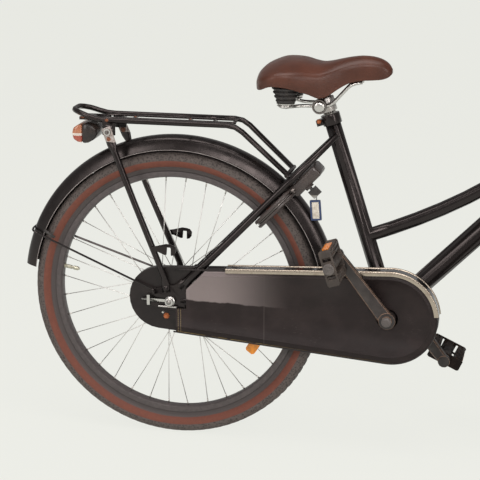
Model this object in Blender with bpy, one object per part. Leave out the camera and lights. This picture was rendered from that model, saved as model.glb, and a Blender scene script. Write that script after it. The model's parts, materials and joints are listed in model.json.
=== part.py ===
"""Children's 24 inch city bicycle with coaster hub, full chain case, carrier and ring lock.

Units are metres. +X points forwards, +Y to the rider's left and +Z up.
Every point below is measured from the rear axle's centre. The last step
moves the finished bicycle so that its origin is the ground point under the
middle of its length.
"""

import math

import bmesh
import bpy
from mathutils import Matrix, Vector

# Clearances
GAP = 0.0003
RUNNING_GAP = 0.0004

# Wheels
WHEELBASE = 0.955
TYRE_RADIUS = 0.3040
AXLE_IN_SLOT = 0.0050
TYRE_HALF_WIDTH = 0.0235
BEAD_SEAT_RADIUS = 0.2535
RIM_HALF_WIDTH = 0.0125
RIM_FLANGE_HEIGHT = 0.006
RIM_DEPTH = 0.0095
RIM_WALL = 0.0018
WHEEL_FACETS = 40
SPOKE_RADIUS = 0.0011
SPOKES_PER_SIDE = 18
SPOKE_CROSS_ANGLE = math.radians(60)
SPOKE_START_ANGLE = math.radians(5)
AXLE_RADIUS = 0.0048
REAR_DROPOUT_INNER = 0.055
DROPOUT_THICKNESS = 0.005
FRONT_DROPOUT_INNER = 0.050
REFLECTOR_RADIUS = 0.1925
REFLECTOR_ANGLE = math.radians(-32.4)
VALVE_ANGLE = math.radians(170.0)

# Frame
BOTTOM_BRACKET = Vector((0.452, 0.0, -0.006))
SHELL_RADIUS = 0.020
SHELL_HALF_WIDTH = 0.034
SHELL_BORE = 0.0175
SEAT_TUBE_SETBACK = 0.006
SEAT_ANGLE = math.radians(72.25)
SEAT_TUBE_RADIUS = 0.0159
SEAT_TUBE_LENGTH = 0.4130
SEAT_POST_RADIUS = 0.0127
SEAT_POST_BORE_DEPTH = 0.230
COLLAR_HEIGHT = 0.021
COLLAR_WALL = 0.0028
HEAD_ANGLE = math.radians(68)
FORK_OFFSET = 0.045
HEAD_TUBE_FOOT = 0.337
HEAD_TUBE_LENGTH = 0.143
HEAD_TUBE_RADIUS = 0.0178
HEAD_TUBE_BORE = 0.0152
TOP_TUBE_RADIUS = 0.0140
TOP_TUBE_HEIGHT = 0.155
TOP_TUBE_START_SLOPE = math.radians(20)
TOP_TUBE_END_SLOPE = math.radians(45)
TOP_TUBE_BEND = 0.143
TOP_TUBE_JOIN = 0.0717
DOWN_TUBE_RADIUS = 0.0215
DOWN_TUBE_JOIN = 0.033
SEAT_STAY_RADIUS = 0.008
SEAT_STAY_FOOT = 0.044
SEAT_STAY_KNEE = 0.3395
SEAT_STAY_DROP = 0.0375
SEAT_STAY_FOOT_SPREAD = 0.0575
SEAT_STAY_KNEE_SPREAD = 0.041
SEAT_STAY_TOP_SPREAD = 0.0185
CHAINSTAY_HALF_HEIGHT = 0.0100
CHAINSTAY_HALF_WIDTH = 0.0065
BRIDGE_RADIUS = 0.005
BRIDGE_RADIUS_ON_STAYS = 0.347

# Steering
STEERER_RADIUS = 0.0127
STEERER_WALL = 0.0014
STEERER_RISE = 0.020
CROWN_HEIGHT = 0.014
BLADE_SPREAD = 0.040
BLADE_TOP_RADIUS = 0.0125
BLADE_TIP_RADIUS = 0.0080
STEM_REACH = 0.075
STEM_RISE = 0.120
BAR_RADIUS = 0.0111
GRIP_RADIUS = 0.0160
GRIP_LENGTH = 0.112
BAR_HALF_WIDTH = 0.280
BAR_SWEEP = 0.122
BAR_RISE = 0.068
PIVOT_ALONG = 0.226
PIVOT_SPREAD = 0.041
PIVOT_FORWARD = 0.024
BRAKE_TOP = 0.352
PAD_RADIUS = 0.2515

# Drive train
CHAINLINE = 0.0455
CHAIN_PITCH = 0.0127
CHAINRING_TEETH = 38
SPROCKET_TEETH = 18
TOOTH_HEIGHT = 0.0033
CRANK_LENGTH = 0.164
CRANK_ANGLE = math.radians(128.2)
CRANK_INNER = 0.068
CRANK_THICKNESS = 0.015
SPINDLE_RADIUS = 0.0085
PEDAL_LENGTH = 0.070
PEDAL_WIDTH = 0.086
PEDAL_DEPTH = 0.026
RIGHT_PEDAL_ANGLE = math.radians(107)
LEFT_PEDAL_ANGLE = math.radians(-25)
PEDAL_PIN_RADIUS = 0.0045

# Chain case
CASE_REAR_CENTRE = (-0.0175, 0.003)
CASE_REAR_RADIUS = 0.0655
CASE_FRONT_CENTRE = (0.456, -0.006)
CASE_FRONT_RADIUS = 0.0955
CASE_WALL = 0.0015
CASE_OUTER_FACE = 0.066
CASE_INNER_FACE = 0.0385
CASE_REAR_FACE = 0.0535

# Mudguards
MUDGUARD_HALF_WIDTH = 0.028
MUDGUARD_WALL = 0.0012
MUDGUARD_DROP = 0.0105
REAR_MUDGUARD_RADIUS = 0.3315
REAR_MUDGUARD_SPAN = (math.radians(12), math.radians(172))
REAR_MUDGUARD_SHIFT = 0.009
FRONT_MUDGUARD_RADIUS = 0.3155
FRONT_MUDGUARD_SPAN = (math.radians(28), math.radians(205))
GUARD_STEPS = 20

# Carrier
RAIL_RADIUS = 0.0055
RAIL_SPREAD = 0.037
RAIL_HEIGHT = 0.3645
RAIL_REAR = -0.150
RAIL_FRONT = 0.137
CARRIER_TAIL = Vector((-0.2035, 0.0, RAIL_HEIGHT + 0.0160))
CARRIER_FOOT_ALONG = 0.3607
CARRIER_FOOT_ABOVE = 0.0150
CARRIER_FOOT_SPREAD = 0.030
CARRIER_RODS = (-0.140, -0.104, -0.080, 0.035, 0.086, 0.127)
CARRIER_PLATE_BOTTOM = RAIL_HEIGHT - 0.0045
ROD_RADIUS = 0.003
STRUT_RADIUS = 0.0065
STRUT_PATH = ((-0.124, 0.052, RAIL_HEIGHT - 0.0220), (-0.0695, 0.055, 0.2018), (-0.0059, 0.0605, 0.0480))

# Ring lock
LOCK_RADIUS = 0.057
LOCK_CENTRE = 0.2915
LOCK_HALF_WIDTH = 0.009
LOCK_HALF_THICKNESS = 0.00875
LOCK_DROP = 0.0173
LOCK_TIP_ANGLE = math.radians(46.1)
SHACKLE_RADIUS = 0.0040
LOCK_TRAVEL = math.radians(94)
LOCK_THICKNESS = 0.0262

# Saddle
CLAMP_RISE = 0.0222
SADDLE_SPRING_BACK = 0.0743
SADDLE_SPRING_SPREAD = 0.045
SADDLE_SPRING_HEIGHT = 0.0385
SADDLE_RAIL_RADIUS = 0.0035
SADDLE_RAIL_SPREAD = 0.0220
SADDLE_RAIL_NOSE = 0.0707
SADDLE_RAIL_LIFT = 0.0475
DISH_HEIGHT = 0.0045

# Stand
STAND_PIVOT = Vector((0.280, 0.0535, -0.033))
STAND_FOLDED = Vector((-0.983, 0.040, -0.180)).normalized()
STAND_DOWN = Vector((-0.150, 0.270, -0.951)).normalized()
STAND_RADIUS = 0.007

# Values that follow from the sizes above
ACROSS = Vector((0.0, 1.0, 0.0))
UP = Vector((0.0, 0.0, 1.0))
REAR_AXLE = Vector((AXLE_IN_SLOT, 0.0, 0.0))
FRONT_AXLE = REAR_AXLE + Vector((WHEELBASE, 0.0, 0.0))
FACET_SHARE = math.cos(math.pi / WHEEL_FACETS)
SEAT_FOOT = BOTTOM_BRACKET - Vector((SEAT_TUBE_SETBACK, 0.0, 0.0))
SEAT_DIRECTION = Vector((-math.cos(SEAT_ANGLE), 0.0, math.sin(SEAT_ANGLE)))
CLAMP = SEAT_FOOT + SEAT_DIRECTION * (SEAT_TUBE_LENGTH + CLAMP_RISE)
SADDLE_FOOT = CLAMP - Vector((SADDLE_SPRING_BACK, 0.0, 0.0015))
STEER_DIRECTION = Vector((-math.cos(HEAD_ANGLE), 0.0, math.sin(HEAD_ANGLE)))
STEER_FORWARD = Vector((math.sin(HEAD_ANGLE), 0.0, math.cos(HEAD_ANGLE)))
STEER_FOOT = FRONT_AXLE - STEER_FORWARD * FORK_OFFSET
STAY_END = SEAT_FOOT + SEAT_DIRECTION * (SEAT_TUBE_LENGTH - SEAT_STAY_DROP) + Vector((0.0069, 0.0, 0.0))
STAY_ANGLE = math.atan2(STAY_END.z, STAY_END.x)
SEAT_STAY_TOP = STAY_END.length
STAY_DIRECTION = Vector((math.cos(STAY_ANGLE), 0.0, math.sin(STAY_ANGLE)))
STAY_NORMAL = Vector((-math.sin(STAY_ANGLE), 0.0, math.cos(STAY_ANGLE)))
CARRIER_FOOT = (
    STAY_DIRECTION * CARRIER_FOOT_ALONG + STAY_NORMAL * CARRIER_FOOT_ABOVE + ACROSS * CARRIER_FOOT_SPREAD
)
CRANK_DIRECTION = Vector((math.cos(CRANK_ANGLE), 0.0, math.sin(CRANK_ANGLE)))
HEAD_TUBE_TOP = HEAD_TUBE_FOOT + HEAD_TUBE_LENGTH
CROWN_TOP = HEAD_TUBE_FOOT - 0.008
CUP_RADIUS = HEAD_TUBE_RADIUS + 0.0015
CHAINRING_RADIUS = CHAIN_PITCH / (2 * math.sin(math.pi / CHAINRING_TEETH))
SPROCKET_RADIUS = CHAIN_PITCH / (2 * math.sin(math.pi / SPROCKET_TEETH))
LOCK_TOP = SEAT_STAY_RADIUS * math.cos(math.pi / 8) + GAP
CRANK_OUTER = CRANK_INNER + CRANK_THICKNESS
PEDAL_INNER = CRANK_OUTER + 0.007
PEDAL_OUTER = PEDAL_INNER + PEDAL_WIDTH
DROPOUT_OUTER = REAR_DROPOUT_INNER + DROPOUT_THICKNESS


def clear_scene():
    for obj in list(bpy.data.objects):
        bpy.data.objects.remove(obj, do_unlink=True)


def material(name, colour, roughness, metallic=0.0):
    """A Principled material, made once for each name."""
    made = bpy.data.materials.get(name)
    if made is None:
        made = bpy.data.materials.new(name)
        made.use_nodes = True
        shader = made.node_tree.nodes["Principled BSDF"]
        shader.inputs["Base Color"].default_value = (*colour, 1.0)
        shader.inputs["Roughness"].default_value = roughness
        shader.inputs["Metallic"].default_value = metallic
    return made


def gloss_black():
    return material("gloss_black_paint", (0.012, 0.011, 0.012), 0.22)


def black_plastic():
    return material("black_plastic", (0.030, 0.028, 0.028), 0.50)


def bright_steel():
    return material("bright_steel", (0.60, 0.59, 0.58), 0.28, 1.0)


def dull_steel():
    return material("dull_steel", (0.35, 0.34, 0.33), 0.45, 1.0)


def black_rubber():
    return material("black_rubber", (0.055, 0.050, 0.048), 0.70)


def as_object(bm):
    """Turns a bmesh into a linked object whose faces point out."""
    bmesh.ops.recalc_face_normals(bm, faces=bm.faces)
    if bm.calc_volume(signed=True) < 0:
        bmesh.ops.reverse_faces(bm, faces=bm.faces)
    mesh = bpy.data.meshes.new("shape")
    bm.to_mesh(mesh)
    bm.free()
    obj = bpy.data.objects.new("shape", mesh)
    bpy.context.scene.collection.objects.link(obj)
    return obj


def mirrored(point):
    return Vector((point[0], -point[1], point[2]))


def lerp(a, b, t):
    return a + (b - a) * t


def steer_point(along, across=0.0, forward=0.0):
    """A point by its distance up the steering axis, across it and ahead of it."""
    return STEER_FOOT + STEER_DIRECTION * along + ACROSS * across + STEER_FORWARD * forward


def seat_point(height):
    """The seat tube's axis at a height above the rear axle."""
    return SEAT_FOOT + SEAT_DIRECTION * ((height - SEAT_FOOT.z) / SEAT_DIRECTION.z)


def stay_point(along, across=0.0, above=0.0):
    """A point by its distance from the rear axle along the seat stays."""
    return STAY_DIRECTION * along + ACROSS * across + STAY_NORMAL * above


def bezier(start, start_handle, end_handle, end, count):
    points = []
    for i in range(count + 1):
        t = i / count
        a = lerp(lerp(start, start_handle, t), lerp(start_handle, end_handle, t), t)
        b = lerp(lerp(start_handle, end_handle, t), lerp(end_handle, end, t), t)
        points.append(lerp(a, b, t))
    return points


def rounded(points, radius, steps=4):
    """The same route with each inner corner replaced by a smooth bend."""
    points = [Vector(p) for p in points]
    route = [points[0]]
    for before, corner, after in zip(points, points[1:], points[2:]):
        reach = min(radius, (corner - before).length / 2.05, (after - corner).length / 2.05)
        a = corner + (before - corner).normalized() * reach
        b = corner + (after - corner).normalized() * reach
        for i in range(steps + 1):
            t = i / steps
            route.append(lerp(lerp(a, corner, t), lerp(corner, b, t), t))
    route.append(points[-1])
    return route


def sweep(points, radius, sides=8, side_axis=ACROSS, closed=False, section=None):
    """A solid swept along points.

    radius is one value, or one (half width, half height) for each point, where
    the width lies along side_axis. section replaces the circle by (width,
    height) factors round the outline.
    """
    points = [Vector(p) for p in points]
    count = len(points)
    sizes = radius if isinstance(radius, list) else [(radius, radius)] * count
    if section is None:
        turn = math.tau / sides
        section = [(math.cos((i + 0.5) * turn), math.sin((i + 0.5) * turn)) for i in range(sides)]
    bm = bmesh.new()
    rings = []
    for i, point in enumerate(points):
        before = points[i - 1] if closed or i else points[0]
        after = points[(i + 1) % count] if closed or i < count - 1 else points[-1]
        tangent = (point - before).normalized() + (after - point).normalized()
        tangent.normalize()
        across = (Vector(side_axis) - tangent * tangent.dot(Vector(side_axis))).normalized()
        upward = tangent.cross(across)
        width, height = sizes[i]
        rings.append([
            bm.verts.new(point + across * (width * a) + upward * (height * b)) for a, b in section
        ])
    pairs = list(zip(rings, rings[1:]))
    if closed:
        pairs.append((rings[-1], rings[0]))
    for first, second in pairs:
        for k in range(len(section)):
            after = (k + 1) % len(section)
            bm.faces.new((first[k], first[after], second[after], second[k]))
    if not closed:
        bm.faces.new(rings[0])
        bm.faces.new(rings[-1])
    return as_object(bm)


def lathe(profile, centre=REAR_AXLE, axis=ACROSS, facets=16, closed=False, start=None):
    """A solid of revolution. profile is a list of (distance along axis, radius)."""
    centre = Vector(centre)
    axis = Vector(axis).normalized()
    if start is None:
        start = UP if abs(axis.dot(UP)) < 0.9 else Vector((1.0, 0.0, 0.0))
    radial = (Vector(start) - axis * axis.dot(Vector(start))).normalized()
    radial = Matrix.Rotation(math.pi / facets, 3, axis) @ radial
    bm = bmesh.new()
    verts = [bm.verts.new(centre + axis * a + radial * r) for a, r in profile]
    edges = [bm.edges.new(pair) for pair in zip(verts, verts[1:])]
    if closed:
        edges.append(bm.edges.new((verts[-1], verts[0])))
    bmesh.ops.spin(
        bm, geom=verts + edges, cent=centre, axis=axis, angle=math.tau, steps=facets, use_merge=True
    )
    bmesh.ops.remove_doubles(bm, verts=bm.verts, dist=1e-6)
    rims = [edge for edge in bm.edges if edge.is_boundary]
    if rims:
        bmesh.ops.holes_fill(bm, edges=rims, sides=0)
    return as_object(bm)


def cylinder(start, end, radius, facets=12):
    start, end = Vector(start), Vector(end)
    return lathe([(0.0, radius), ((end - start).length, radius)], start, end - start, facets)


def tube_ring(start, end, radius, bore, facets=16):
    """A short tube with its bore, between two points."""
    start, end = Vector(start), Vector(end)
    length = (end - start).length
    profile = [(0.0, bore), (0.0, radius), (length, radius), (length, bore)]
    return lathe(profile, start, end - start, facets, closed=True)


def prism(outline, low, high):
    """An outline of (x, z) points drawn out along Y from low to high."""
    bm = bmesh.new()
    face = bm.faces.new([bm.verts.new((x, low, z)) for x, z in outline])
    moved = bmesh.ops.extrude_face_region(bm, geom=[face])["geom"]
    verts = [item for item in moved if isinstance(item, bmesh.types.BMVert)]
    bmesh.ops.translate(bm, verts=verts, vec=(0.0, high - low, 0.0))
    return as_object(bm)


def block(centre, size, rotation=None):
    """A box by its centre and full size, turned by an optional 3 x 3 matrix."""
    bm = bmesh.new()
    bmesh.ops.create_cube(bm, size=1.0)
    bmesh.ops.scale(bm, vec=size, verts=bm.verts)
    if rotation is not None:
        bmesh.ops.transform(bm, matrix=rotation.to_4x4(), verts=bm.verts)
    bmesh.ops.translate(bm, vec=centre, verts=bm.verts)
    return as_object(bm)


def turned(forward, up):
    """A rotation whose X column is forward and whose Z column is as near up as can be."""
    x = Vector(forward).normalized()
    y = Vector(up).cross(x).normalized()
    return Matrix((x, y, x.cross(y))).transposed()


def arc(centre, radius, start, end, steps):
    """Points (x, z) on an arc, both ends included."""
    angles = [start + (end - start) * i / steps for i in range(steps + 1)]
    return [(centre[0] + radius * math.cos(a), centre[1] + radius * math.sin(a)) for a in angles]


def joined(objects):
    """Several separate bodies as one mesh, to serve as one Boolean tool."""
    bm = bmesh.new()
    for obj in objects:
        bm.from_mesh(obj.data)
        bpy.data.objects.remove(obj, do_unlink=True)
    return as_object(bm)


def boolean(target, tools, operation):
    """Applies each tool to target in turn and removes the tools."""
    for tool in tools:
        modifier = target.modifiers.new(operation.lower(), "BOOLEAN")
        modifier.operation = operation
        modifier.solver = "EXACT"
        modifier.object = tool
    graph = bpy.context.evaluated_depsgraph_get()
    mesh = bpy.data.meshes.new_from_object(target.evaluated_get(graph))
    target.modifiers.clear()
    target.data = mesh
    for tool in tools:
        bpy.data.objects.remove(tool, do_unlink=True)
    bm = bmesh.new()
    bm.from_mesh(mesh)
    bmesh.ops.remove_doubles(bm, verts=bm.verts, dist=2e-6)
    bmesh.ops.dissolve_degenerate(bm, edges=bm.edges, dist=1e-6)
    bm.to_mesh(mesh)
    bm.free()
    return target


def union(first, *others):
    return boolean(first, list(others), "UNION")


def cut(target, *tools):
    return boolean(target, list(tools), "DIFFERENCE")


def node(obj, name, look, origin=REAR_AXLE, sharp=35):
    """Names a finished solid and puts its origin on the given point."""
    obj.name = name
    obj.data.name = name
    obj.data.transform(Matrix.Translation(-Vector(origin)))
    obj.location = Vector(origin)
    obj.data.materials.clear()
    obj.data.materials.append(look)
    obj.data.shade_smooth()
    obj.data.set_sharp_from_angle(angle=math.radians(sharp))
    return obj


# Wheels


def tyre(name, axle):
    """A closed ring: bead, bulging side wall and a narrow flat on the ground."""
    seat = BEAD_SEAT_RADIUS
    bead = RIM_HALF_WIDTH - RIM_WALL - GAP
    top = seat + RIM_FLANGE_HEIGHT
    height = TYRE_RADIUS - top
    side = [
        (bead, seat + GAP),
        (bead, top + GAP),
        (0.88 * TYRE_HALF_WIDTH, top + 0.22 * height),
        (TYRE_HALF_WIDTH, top + 0.50 * height),
        (0.80 * TYRE_HALF_WIDTH, top + 0.81 * height),
        (0.26 * TYRE_HALF_WIDTH, TYRE_RADIUS),
    ]
    profile = side + [(-y, r) for y, r in reversed(side)]
    ring = lathe(profile, axle, ACROSS, WHEEL_FACETS, closed=True, start=-UP)
    return node(ring, name, black_rubber(), axle)


def rim(name, axle):
    """A box rim with its two flanges, and the valve standing inwards from it."""
    seat = BEAD_SEAT_RADIUS
    flange = seat + RIM_FLANGE_HEIGHT
    inner = seat - RIM_DEPTH
    half = RIM_HALF_WIDTH
    side = [
        (half - RIM_WALL, seat),
        (half - RIM_WALL, flange),
        (half, flange),
        (half - 0.0020, inner),
    ]
    profile = side + [(-y, r) for y, r in reversed(side)]
    ring = lathe(profile, axle, ACROSS, WHEEL_FACETS, closed=True, start=-UP)
    out = Vector((math.cos(VALVE_ANGLE), 0.0, math.sin(VALVE_ANGLE)))
    valve = lathe(
        [(0.0, 0.0041), (0.018, 0.0041), (0.020, 0.0028), (0.037, 0.0028)],
        Vector(axle) + out * (inner + 0.004),
        -out,
        6,
    )
    return node(union(ring, valve), name, bright_steel(), axle)


def spokes(axle, flange_half_gap, hole_radius):
    """Both sides' spokes, crossing three times, as separate thin prisms."""
    rim_end = (BEAD_SEAT_RADIUS - RIM_DEPTH) * FACET_SHARE - GAP
    pairs = SPOKES_PER_SIDE // 2
    made = []
    for side in (1, -1):
        shift = SPOKE_START_ANGLE + (0.0 if side > 0 else math.pi / SPOKES_PER_SIDE)
        for k in range(SPOKES_PER_SIDE):
            leading = k % 2 == 0
            at_hub = shift + math.tau * k / (2 * pairs)
            at_rim = at_hub + (SPOKE_CROSS_ANGLE if leading else -SPOKE_CROSS_ANGLE)
            lean = 0.0017 if leading else -0.0017
            start = Vector((math.cos(at_hub), 0.0, math.sin(at_hub))) * hole_radius
            start.y = side * (flange_half_gap + lean)
            end = Vector((math.cos(at_rim), 0.0, math.sin(at_rim))) * rim_end
            end.y = side * 0.0004 + lean * 0.8 * side
            made.append(sweep([axle + start, axle + end], SPOKE_RADIUS, 3))
    return joined(made)


def wheel_reflector(axle):
    """A curved bar clipped between the spokes."""
    half_span = math.radians(8.6)
    outer = arc(
        (0, 0), REFLECTOR_RADIUS + 0.0115, REFLECTOR_ANGLE - half_span, REFLECTOR_ANGLE + half_span, 3,
    )
    inner = arc(
        (0, 0), REFLECTOR_RADIUS - 0.0115, REFLECTOR_ANGLE + half_span, REFLECTOR_ANGLE - half_span, 3,
    )
    outline = [(x + axle.x, z + axle.z) for x, z in outer + inner]
    return prism(outline, -0.0085, 0.0085)


def hub(name, axle, profile, flange_half_gap, hole_radius, facets=16):
    body = lathe(profile, axle, ACROSS, facets, closed=True)
    whole = union(body, spokes(axle, flange_half_gap, hole_radius), wheel_reflector(axle))
    return node(whole, name, bright_steel(), axle)


def rear_hub():
    """Coaster hub: barrel, two flanges and the brake side's bearing cover."""
    bore = AXLE_RADIUS + RUNNING_GAP
    profile = [
        (-0.0335, bore), (-0.0335, 0.0240), (-0.0318, 0.0240), (-0.0318, 0.0340),
        (-0.0272, 0.0340), (-0.0240, 0.0225), (0.0225, 0.0225), (0.0272, 0.0345),
        (0.0318, 0.0345), (0.0318, 0.0270), (0.0352, 0.0260), (0.0352, bore),
    ]
    return hub("rear_hub", REAR_AXLE, profile, 0.0295, 0.030)


def front_hub():
    bore = AXLE_RADIUS + RUNNING_GAP
    side = [
        (0.0400, bore), (0.0400, 0.0125), (0.0362, 0.0125), (0.0362, 0.0205), (0.0318, 0.0205),
        (0.0295, 0.0110),
    ]
    profile = side + [(-y, r) for y, r in reversed(side)]
    return hub("front_hub", FRONT_AXLE, profile, 0.0340, 0.017, 12)


def axle_with_cones(name, axle, cones, end):
    """An axle with its cones and lock nuts. cones are (near, far) distances along Y."""
    profile = [(-end, AXLE_RADIUS)]
    for near, far in cones:
        profile += [(near, AXLE_RADIUS), (near, 0.0088), (far, 0.0088), (far, AXLE_RADIUS)]
    profile.append((end, AXLE_RADIUS))
    return node(lathe(profile, axle, ACROSS, 8), name, dull_steel(), axle)


def axle_nut(name, side, seat):
    """Washer and nut, with the axle's end standing out of them."""
    bore = AXLE_RADIUS + GAP
    low = seat + GAP
    washer = [(low, bore), (low, 0.0105), (low + 0.0016, 0.0105), (low + 0.0016, 0.0092)]
    body = [(low + 0.0020, 0.0092), (low + 0.0092, 0.0092), (low + 0.0105, 0.0075), (low + 0.0105, bore)]
    nut = lathe(washer + body, REAR_AXLE, ACROSS * side, 10, closed=True)
    return node(nut, name, bright_steel())


# Frame


def frame_tubes():
    seat_top = SEAT_FOOT + SEAT_DIRECTION * SEAT_TUBE_LENGTH
    seat_tube = sweep([SEAT_FOOT, seat_top], SEAT_TUBE_RADIUS, 14)
    head_tube = cylinder(steer_point(HEAD_TUBE_FOOT), steer_point(HEAD_TUBE_TOP), HEAD_TUBE_RADIUS, 14)
    shell_end = ACROSS * SHELL_HALF_WIDTH
    shell = cylinder(BOTTOM_BRACKET - shell_end, BOTTOM_BRACKET + shell_end, SHELL_RADIUS, 16)
    start = seat_point(TOP_TUBE_HEIGHT - 0.0105)
    end = steer_point(HEAD_TUBE_FOOT + TOP_TUBE_JOIN)
    out = Vector((math.cos(TOP_TUBE_START_SLOPE), 0.0, math.sin(TOP_TUBE_START_SLOPE)))
    arrive = Vector((math.cos(TOP_TUBE_END_SLOPE), 0.0, math.sin(TOP_TUBE_END_SLOPE)))
    curve = bezier(
        start, start + out * TOP_TUBE_BEND, end - arrive * TOP_TUBE_BEND, end - arrive * 0.004, 8,
    )
    top_tube = sweep(curve, TOP_TUBE_RADIUS, 10)
    foot = steer_point(HEAD_TUBE_FOOT + DOWN_TUBE_JOIN)
    run = (foot - BOTTOM_BRACKET).normalized()
    down_tube = sweep([BOTTOM_BRACKET, foot - run * (HEAD_TUBE_RADIUS * 0.75)], DOWN_TUBE_RADIUS, 12)
    return union(seat_tube, head_tube, shell, top_tube, down_tube)


def stay_spread(along):
    """How far the seat stays stand from the middle, at a distance up from the axle."""
    if along < SEAT_STAY_KNEE:
        t = (along - SEAT_STAY_FOOT) / (SEAT_STAY_KNEE - SEAT_STAY_FOOT)
        return lerp(SEAT_STAY_FOOT_SPREAD, SEAT_STAY_KNEE_SPREAD, t)
    t = (along - SEAT_STAY_KNEE) / (SEAT_STAY_TOP - SEAT_STAY_KNEE)
    return lerp(SEAT_STAY_KNEE_SPREAD, SEAT_STAY_TOP_SPREAD, t)


def seat_stay(side):
    stations = (SEAT_STAY_FOOT - 0.006, 0.090, 0.140, SEAT_STAY_KNEE, SEAT_STAY_TOP)
    flat = (0.0052, 0.0088)
    round_size = (SEAT_STAY_RADIUS, SEAT_STAY_RADIUS)
    sizes = [flat, flat, round_size, round_size, (0.0065, 0.0065)]
    points = [stay_point(u, side * stay_spread(u)) for u in stations]
    return sweep(points, sizes, 8)


def chainstay_path(side):
    bracket = BOTTOM_BRACKET
    route = [(0.0, 0.020), (-0.049, 0.033), (-0.109, 0.0385), (-0.169, 0.042), (-0.425, 0.0575)]
    points = []
    for dx, y in route:
        t = dx / route[-1][0]
        points.append(Vector((bracket.x + dx, side * y, lerp(bracket.z, 0.0, t))))
    return points


def chainstay(side):
    points = chainstay_path(side)
    wide = (CHAINSTAY_HALF_WIDTH, CHAINSTAY_HALF_HEIGHT)
    sizes = [(0.0070, 0.0115), wide, wide, wide, (0.0052, 0.0085)]
    return sweep(points, sizes, 8)


def dropout(side):
    """A plate with a slot open to the rear and an eyelet for the mudguard stay."""
    low = side * REAR_DROPOUT_INNER
    high = side * DROPOUT_OUTER
    slot = AXLE_RADIUS + GAP
    outline = [(0.050, -0.008), (0.052, 0.006), (0.046, 0.034), (0.030, 0.046), (0.014, 0.033)]
    outline += arc((-0.003, 0.026), 0.0075, math.radians(60), math.radians(170), 3)
    outline += arc((-0.0270, 0.018), 0.0070, math.radians(70), math.radians(230), 4)
    outline += [(-0.036, slot)]
    outline += arc(
        (REAR_AXLE.x, 0.0), slot / math.cos(math.pi / 10), math.radians(90), math.radians(-90), 5,
    )
    outline += [(-0.036, -slot), (-0.036, -0.0125), (-0.010, -0.0185), (0.018, -0.0200), (0.036, -0.0130)]
    return prism(outline, min(low, high), max(low, high))


def stay_bridge(along):
    spread = stay_spread(along)
    return sweep([stay_point(along, -spread), stay_point(along, spread)], BRIDGE_RADIUS, 6, UP)


def lug_between(centre, reach, foot):
    """A small plate from a bridge, at reach from a guard's centre, down to the guard."""
    out = reach.normalized()
    length = reach.length - foot
    return block(
        centre + out * (foot + length / 2), (length, 0.016, 0.003), turned(out, out.cross(ACROSS)),
    )


def frame():
    left, right = 1, -1
    body = frame_tubes()
    chain_bridge_x = 0.331
    chain_bridge = sweep(
        [(chain_bridge_x, -0.040, -0.002), (chain_bridge_x, 0.040, -0.002)], 0.006, 6, UP,
    )
    bridge = stay_bridge(BRIDGE_RADIUS_ON_STAYS)
    middle = Vector((REAR_MUDGUARD_SHIFT, 0.0, 0.0))
    reach = stay_point(BRIDGE_RADIUS_ON_STAYS) - middle
    guard = guard_radius(
        REAR_MUDGUARD_RADIUS, REAR_MUDGUARD_SPAN, GUARD_STEPS, math.atan2(reach.z, reach.x)
    )
    lug = lug_between(middle, reach, guard + 1.3 * GAP)
    stand_plate = block((STAND_PIVOT.x, 0.0405, -0.022), (0.026, 0.013, 0.036))
    pin = cylinder(
        STAND_PIVOT - stand_axis() * 0.0070, STAND_PIVOT + stand_axis() * 0.0110, 0.0050, 10
    )
    body = union(
        body, seat_stay(left), seat_stay(right), chainstay(left), chainstay(right),
        dropout(left), dropout(right), chain_bridge, bridge, lug, stand_plate, pin,
    )
    post_bore = cylinder(
        SEAT_FOOT + SEAT_DIRECTION * (SEAT_TUBE_LENGTH - SEAT_POST_BORE_DEPTH),
        SEAT_FOOT + SEAT_DIRECTION * (SEAT_TUBE_LENGTH + 0.02),
        (SEAT_POST_RADIUS + GAP) / math.cos(math.pi / 14),
        14,
    )
    head_bore = cylinder(
        steer_point(HEAD_TUBE_FOOT - 0.02), steer_point(HEAD_TUBE_TOP + 0.02), HEAD_TUBE_BORE, 14
    )
    shell_bore = cylinder(
        BOTTOM_BRACKET - ACROSS * 0.06, BOTTOM_BRACKET + ACROSS * 0.06, SHELL_BORE, 16
    )
    cup_room = cylinder(
        steer_point(HEAD_TUBE_FOOT - 0.040), steer_point(HEAD_TUBE_FOOT), CUP_RADIUS + 2 * GAP, 14,
    )
    return node(cut(body, post_bore, head_bore, shell_bore, cup_room), "frame", gloss_black())


def stand_axis():
    """The stand's hinge: turning about it swings the leg from folded to down."""
    return STAND_FOLDED.cross(STAND_DOWN).normalized()


def seat_collar():
    """Split clamp round the top of the seat tube, with its bolt's ears."""
    bottom = SEAT_TUBE_LENGTH - COLLAR_HEIGHT + 0.0025
    start = SEAT_FOOT + SEAT_DIRECTION * bottom
    end = start + SEAT_DIRECTION * COLLAR_HEIGHT
    outer = SEAT_TUBE_RADIUS + GAP + COLLAR_WALL
    bore = (SEAT_TUBE_RADIUS + GAP) / math.cos(math.pi / 14)
    lip = (SEAT_POST_RADIUS + GAP) / math.cos(math.pi / 14)
    top = SEAT_TUBE_LENGTH - bottom + GAP
    profile = [
        (0.0, bore), (0.0, outer), (COLLAR_HEIGHT, outer), (COLLAR_HEIGHT, lip), (top, lip), (top, bore),
    ]
    ring = lathe(profile, start, end - start, 14, closed=True)
    back = (SEAT_DIRECTION.cross(ACROSS)).normalized()
    if back.x > 0:
        back = -back
    middle = start + SEAT_DIRECTION * (COLLAR_HEIGHT * 0.45) + back * (outer + 0.004)
    ears = block(middle, (0.014, 0.018, 0.012), turned(back, SEAT_DIRECTION))
    bolt = cylinder(middle - ACROSS * 0.013, middle + ACROSS * 0.013, 0.0042, 8)
    slit = block(middle - back * 0.003, (0.024, 0.0026, 0.040), turned(back, SEAT_DIRECTION))
    ring = cut(union(ring, ears), slit)
    return node(union(ring, bolt), "seat_collar", black_plastic())


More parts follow.
